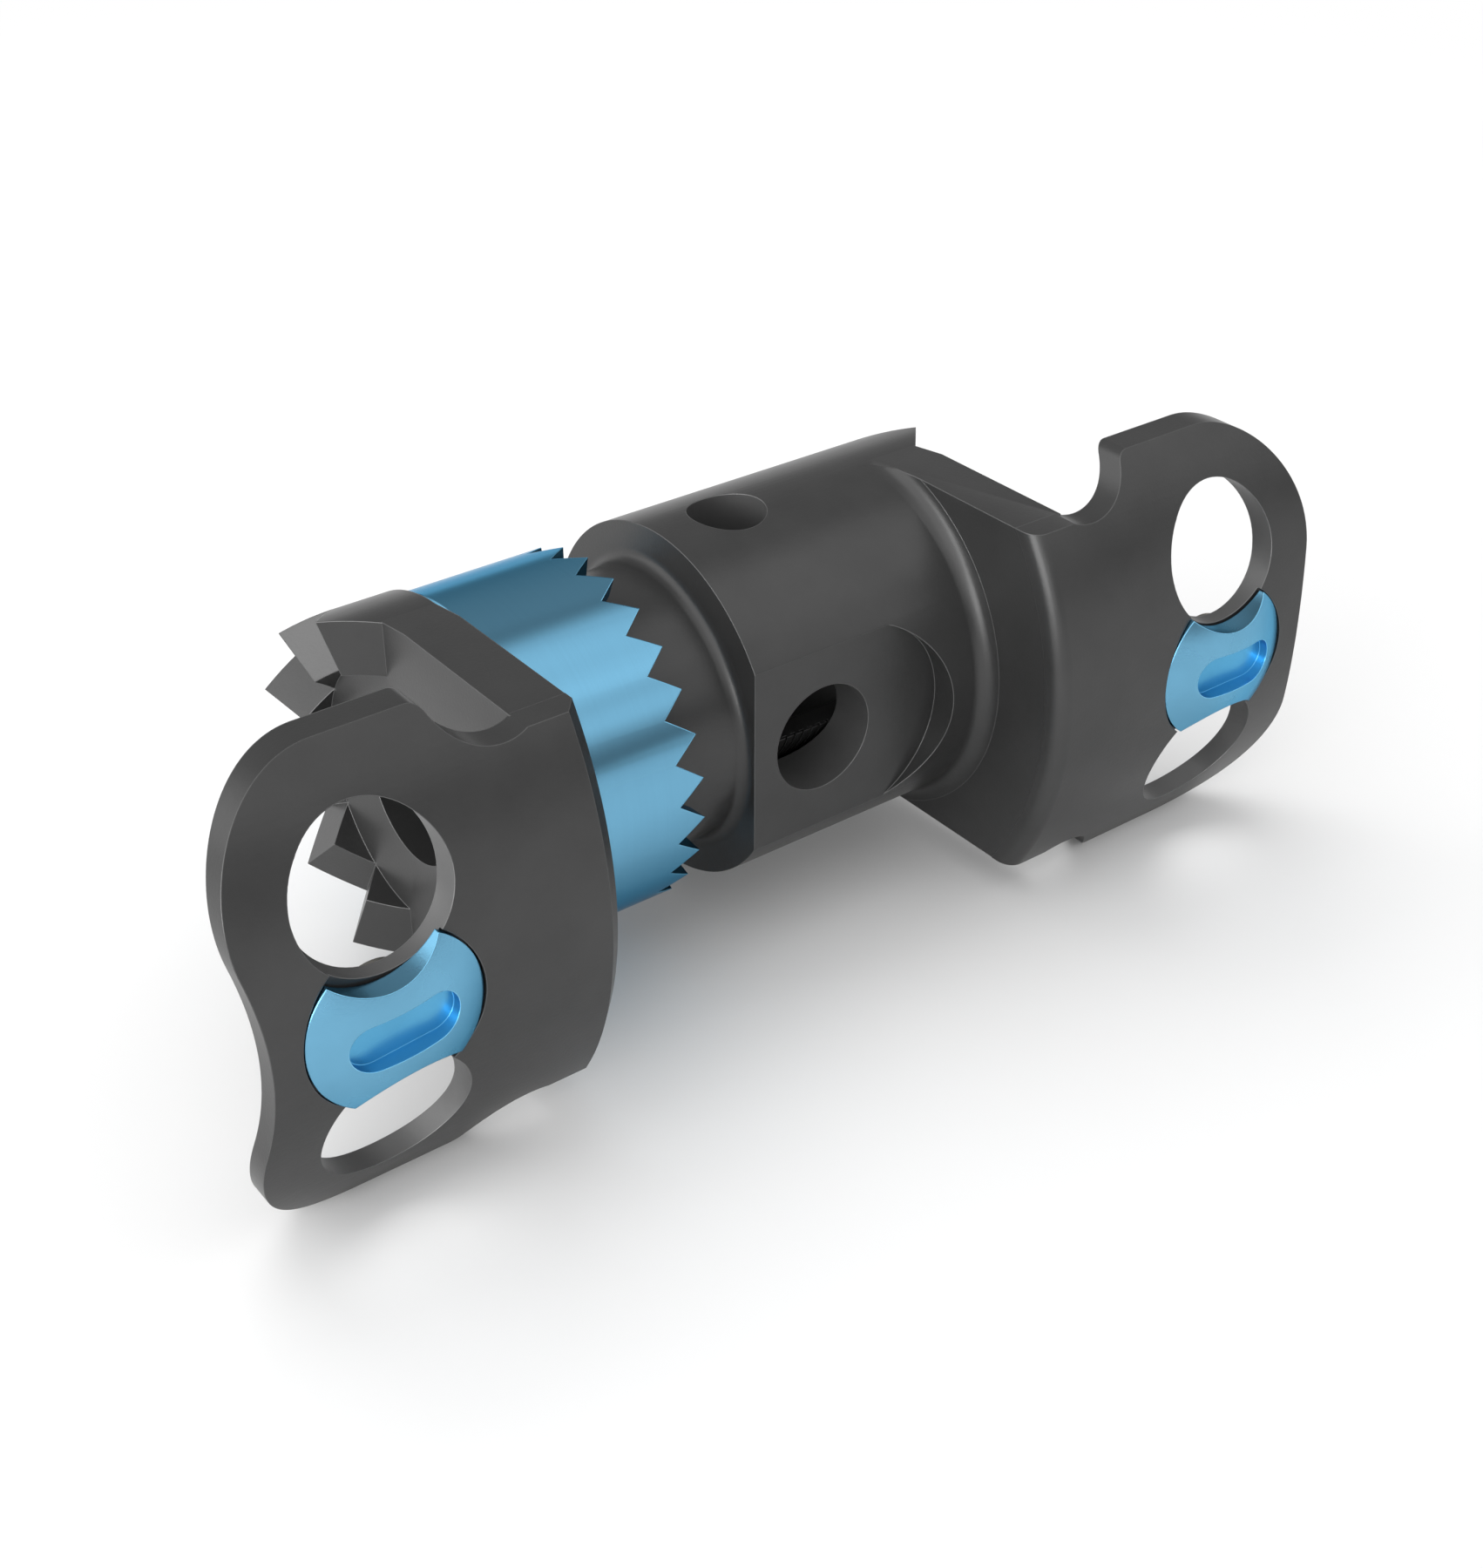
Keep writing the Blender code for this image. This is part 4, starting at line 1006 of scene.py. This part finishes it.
def lock_cam(name, body, hole_x, turn):
    """Domed cam with two bites that follow the screw holes, a driver slot and a shank."""
    place = (hole_x, 0.0, 0.0)
    floor = -(PLATE_FRONT_Y + RECESS_DEPTH - SEAT_GAP)
    top = floor + CAM_EDGE + CAM_DOME
    shank_end = -(PLATE_REAR_Y + SEAT_GAP + COLLAR_THICKNESS)
    dome_radius = (CAM_RADIUS ** 2 + CAM_DOME ** 2) / (2.0 * CAM_DOME)
    reach = math.degrees(math.asin(CAM_RADIUS / dome_radius))
    dome = arc((0.0, top - dome_radius), dome_radius, 90.0, 90.0 - reach, DOME_STEPS)
    profile = [(0.0, top), *dome[1:], (CAM_RADIUS, floor), (CAM_SHANK_RADIUS, floor),
               (CAM_SHANK_RADIUS, shank_end), (0.0, shank_end)]
    cam = painted(turned(name, profile, "-Y", CAM_STEPS, place), "blue")
    half_run = (SLOT_LENGTH - SLOT_WIDTH) / 2.0
    slot_outline = arc((hole_x + half_run, 0.0), SLOT_WIDTH / 2.0, -90.0, 90.0, CORNER_STEPS)
    slot_outline += arc((hole_x - half_run, 0.0), SLOT_WIDTH / 2.0, 90.0, 270.0, CORNER_STEPS)
    slot = prism(name + "_slot", slot_outline, "Y", -top - MM, -top + SLOT_DEPTH)
    bites = [rod(name + "_bite", CAM_BITE_RADIUS, floor - SEAT_GAP, top + MM, "-Y",
                 (hole_x, 0.0, bite_z), CAM_STEPS) for bite_z in (SCREW_Z, -SCREW_Z)]
    combine(cam, [painted(slot, "slot"), *bites], "DIFFERENCE")
    centre = Matrix.Translation(place)
    turning = Matrix.Rotation(math.radians(-turn), 4, "Y")
    cam.data.transform(centre @ turning @ centre.inverted())
    settle(cam, name, body)


def cam_collar(name, body, hole_x):
    """Collar pressed on a cam's shank behind the plate, its outer edges broken."""
    front = -(PLATE_REAR_Y + SEAT_GAP)
    back = front - COLLAR_THICKNESS
    profile = [
        (CAM_SHANK_RADIUS + SEAT_GAP, front),
        (COLLAR_RADIUS - COLLAR_CHAMFER, front),
        (COLLAR_RADIUS, front - COLLAR_CHAMFER),
        (COLLAR_RADIUS, back + COLLAR_CHAMFER),
        (COLLAR_RADIUS - COLLAR_CHAMFER, back),
        (CAM_SHANK_RADIUS + SEAT_GAP, back),
    ]
    collar = turned(name, profile, "-Y", SMALL_STEPS, (hole_x, 0.0, 0.0))
    settle(painted(collar, "bright"), name, body)


def dress_inner_pieces():
    """Give the retaining ring and the guide pin, which keep their CAD shapes, their finish."""
    for node in INNER_NODES:
        for place in frame["nodes"][node].material_slots:
            place.material = finish("bright")


def board_finish():
    """Matt white board, plain white past the shadow."""
    colour = bpy.context.scene.cage_colours.floor
    material, tree, shader, place = new_material("Matt white board", colour)
    # Board has no sheen and hardly any tone of its own
    fibre = add_node(tree, "ShaderNodeTexNoise", {
        "Vector": place, "Scale": 1.0 / FIBRE_SIZE, "Detail": 2.0, "Roughness": 0.5})
    tone = add_node(tree, "ShaderNodeValToRGB", {"Fac": fibre.outputs["Fac"]})
    stops = tone.color_ramp.elements
    stops[0].color = tuple(FIBRE_TONE * part for part in colour[:3]) + (1.0,)
    stops[1].color = tuple(colour)
    tree.links.new(tone.outputs["Color"], shader.inputs["Base Color"])
    shader.inputs["Roughness"].default_value = 1.0
    shader.inputs["Specular IOR Level"].default_value = 0.0
    # The white is what the camera sees past the shadow, also in metal and glass
    span = add_node(tree, "ShaderNodeVectorMath", {0: place}, operation="LENGTH")
    far = add_node(tree, "ShaderNodeMapRange", {
        "Value": span.outputs["Value"], "From Min": WHITE_START, "From Max": WHITE_FULL},
        interpolation_type="SMOOTHSTEP")
    path = add_node(tree, "ShaderNodeLightPath")
    seen = add_node(tree, "ShaderNodeMath", {
        0: path.outputs["Is Camera Ray"], 1: path.outputs["Is Glossy Ray"]}, operation="ADD")
    seen = add_node(tree, "ShaderNodeMath", {
        0: seen.outputs[0], 1: path.outputs["Is Transmission Ray"]},
        operation="ADD", use_clamp=True)
    share = add_node(tree, "ShaderNodeMath", {
        0: far.outputs["Result"], 1: seen.outputs[0]}, operation="MULTIPLY")
    plain = add_node(tree, "ShaderNodeEmission", {"Color": WHITE, "Strength": 1.0})
    both = add_node(tree, "ShaderNodeMixShader", {
        "Fac": share.outputs[0], 1: shader.outputs[0], 2: plain.outputs[0]})
    tree.links.new(both.outputs[0], tree.nodes["Material Output"].inputs["Surface"])
    return material


def stage_floor():
    """A wide round board under the cage, turned up at its rim so that no horizon shows."""
    shape = bmesh.new()
    bmesh.ops.create_grid(shape, x_segments=FLOOR_CELLS, y_segments=FLOOR_CELLS,
                          size=FLOOR_RADIUS)
    for vertex in shape.verts:
        reach = max(abs(vertex.co.x), abs(vertex.co.y))
        past = max(0.0, reach - FLOOR_FLAT)
        vertex.co = vertex.co.normalized() * reach
        vertex.co.z = FLOOR_BEND * past * past
    for face in shape.faces:
        face.smooth = True
    floor = mesh_object("floor", shape)
    floor.data.materials.append(board_finish())


def studio_world():
    """Soft studio light: a long softbox over the front, lower light behind, a lit left end."""
    world = bpy.data.worlds.new("Studio")
    bpy.context.scene.world = world
    world.use_nodes = True
    tree = world.node_tree
    tree.nodes.clear()
    way = add_node(tree, "ShaderNodeTexCoord").outputs["Generated"]
    parts = add_node(tree, "ShaderNodeSeparateXYZ", {"Vector": way})
    # Angle round the cage's axis: 0 behind, a quarter turn overhead, half a turn in front
    angle = add_node(tree, "ShaderNodeMath", {
        0: parts.outputs["Z"], 1: parts.outputs["Y"]}, operation="ARCTAN2")
    share = add_node(tree, "ShaderNodeMath", {
        0: angle.outputs[0], 1: math.pi}, operation="DIVIDE", use_clamp=True)
    ramp = add_node(tree, "ShaderNodeValToRGB", {"Fac": share.outputs[0]})
    stops = ramp.color_ramp.elements
    for number, (degrees, level) in enumerate(SOFTBOX):
        stop = stops[number] if number < 2 else stops.new(degrees / 180.0)
        stop.position = degrees / 180.0
        stop.color = (level / SOFTBOX_PEAK,) * 3 + (1.0,)
    box = add_node(tree, "ShaderNodeBackground", {
        "Color": ramp.outputs["Color"], "Strength": SOFTBOX_PEAK})
    # The left end of the studio is brighter, and lights the crown's flanks
    left = add_node(tree, "ShaderNodeMapRange", {
        "Value": parts.outputs["X"], "From Min": LEFT_START, "From Max": LEFT_FULL},
        interpolation_type="SMOOTHSTEP")
    end = add_node(tree, "ShaderNodeBackground", {"Color": WHITE, "Strength": LEFT_LEVEL})
    both = add_node(tree, "ShaderNodeMixShader", {
        "Fac": left.outputs["Result"], 1: box.outputs[0], 2: end.outputs[0]})
    add_node(tree, "ShaderNodeOutputWorld", {"Surface": both.outputs[0]})


def studio_lamps():
    """A wide lamp high behind the cage, for its shadow, and a low one at its left end."""
    for name, place, size, power, mirrored in LAMPS:
        light = bpy.data.lights.new(name, "AREA")
        light.shape = "RECTANGLE"
        light.size, light.size_y = size
        light.energy = power
        lamp = new_object(name, light)
        lamp.location = place
        lamp.rotation_euler = (AXIS_PLACE - Vector(place)).to_track_quat("-Z", "Y").to_euler()
        lamp.visible_glossy = mirrored


def stage_camera():
    """Camera at the photograph's angle."""
    camera = bpy.data.cameras.new("Camera")
    camera.lens = CAMERA_LENS
    camera.sensor_fit = "VERTICAL"
    camera.sensor_width = CAMERA_SENSOR
    camera.sensor_height = CAMERA_SENSOR
    camera.clip_start = MM
    turn = math.radians(CAMERA_AZIMUTH)
    rise = math.radians(CAMERA_RISE)
    right = Vector((math.cos(turn), math.sin(turn), 0.0))
    back = Vector((math.sin(turn) * math.cos(rise), -math.cos(turn) * math.cos(rise),
                   math.sin(rise)))
    up = back.cross(right)
    eye = new_object("Camera", camera)
    eye.matrix_world = Matrix.Translation(AXIS_PLACE + Vector(CAMERA_PLACE)) @ Matrix(
        (right, up, back)).transposed().to_4x4()
    bpy.context.scene.camera = eye


class CAGE_OT_outer_body(bpy.types.Operator):
    """Build the tube, neck, caudal web, plate and crown"""

    bl_idname = "cage.outer_body"
    bl_label = "Outer body"

    def execute(self, context):
        outer_body()
        return {"FINISHED"}


class CAGE_OT_sliding_end(bpy.types.Operator):
    """Build the cranial web, plate, crown and threaded post"""

    bl_idname = "cage.sliding_end"
    bl_label = "Sliding end"

    def execute(self, context):
        cranial_end()
        return {"FINISHED"}


class CAGE_OT_adjusting_ring(bpy.types.Operator):
    """Build the blue nut with its crown teeth"""

    bl_idname = "cage.adjusting_ring"
    bl_label = "Adjusting ring"

    def execute(self, context):
        adjusting_ring()
        return {"FINISHED"}


class CAGE_OT_lock_cams(bpy.types.Operator):
    """Build both blue cams and the collars behind the plates"""

    bl_idname = "cage.lock_cams"
    bl_label = "Lock cams"

    def execute(self, context):
        lock_cam("cranial_lock_cam", "cranial_cam", CRANIAL_HOLE_X, CRANIAL_CAM_TURN)
        lock_cam("caudal_lock_cam", "caudal_cam", CAUDAL_HOLE_X, 0.0)
        cam_collar("cranial_cam_collar", "cranial_cam", CRANIAL_HOLE_X)
        cam_collar("caudal_cam_collar", "caudal_cam", CAUDAL_HOLE_X)
        return {"FINISHED"}


class CAGE_OT_inner_pieces(bpy.types.Operator):
    """Give the retaining ring and the guide pin their finish"""

    bl_idname = "cage.inner_pieces"
    bl_label = "Inner pieces"

    def execute(self, context):
        dress_inner_pieces()
        return {"FINISHED"}


class CAGE_OT_stage(bpy.types.Operator):
    """Set up the floor, light and camera"""

    bl_idname = "cage.stage"
    bl_label = "Stage"

    def execute(self, context):
        stage_floor()
        studio_world()
        studio_lamps()
        stage_camera()
        context.scene.view_settings.view_transform = "Standard"
        return {"FINISHED"}


OPERATORS = (CAGE_OT_outer_body, CAGE_OT_sliding_end, CAGE_OT_adjusting_ring,
             CAGE_OT_lock_cams, CAGE_OT_inner_pieces, CAGE_OT_stage)


class CAGE_PT_tools(bpy.types.Panel):
    """Sizes, colours and steps of the cage"""

    bl_idname = "CAGE_PT_tools"
    bl_label = "Expandable cage"
    bl_space_type = "VIEW_3D"
    bl_region_type = "UI"
    bl_category = "Cage"

    def draw(self, context):
        layout = self.layout
        for group in (context.scene.cage_sizes, context.scene.cage_colours):
            box = layout.box()
            for name in group.__annotations__:
                box.prop(group, name)
        for step in OPERATORS:
            layout.operator(step.bl_idname)


CLASSES = (CageSizes, CageColours, *OPERATORS, CAGE_PT_tools)


def register():
    """Register the classes, and give the scene its sizes and colours."""
    for item in CLASSES:
        bpy.utils.register_class(item)
    bpy.types.Scene.cage_sizes = bpy.props.PointerProperty(type=CageSizes)
    bpy.types.Scene.cage_colours = bpy.props.PointerProperty(type=CageColours)


def unregister():
    """Take the properties and classes away again."""
    del bpy.types.Scene.cage_colours
    del bpy.types.Scene.cage_sizes
    for item in reversed(CLASSES):
        bpy.utils.unregister_class(item)


def main():
    """Build the dressed cage and its stage."""
    register()
    bpy.ops.cage.stage()
    bpy.ops.cage.outer_body()
    bpy.ops.cage.sliding_end()
    bpy.ops.cage.adjusting_ring()
    bpy.ops.cage.lock_cams()
    bpy.ops.cage.inner_pieces()


if __name__ == "__main__":
    main()
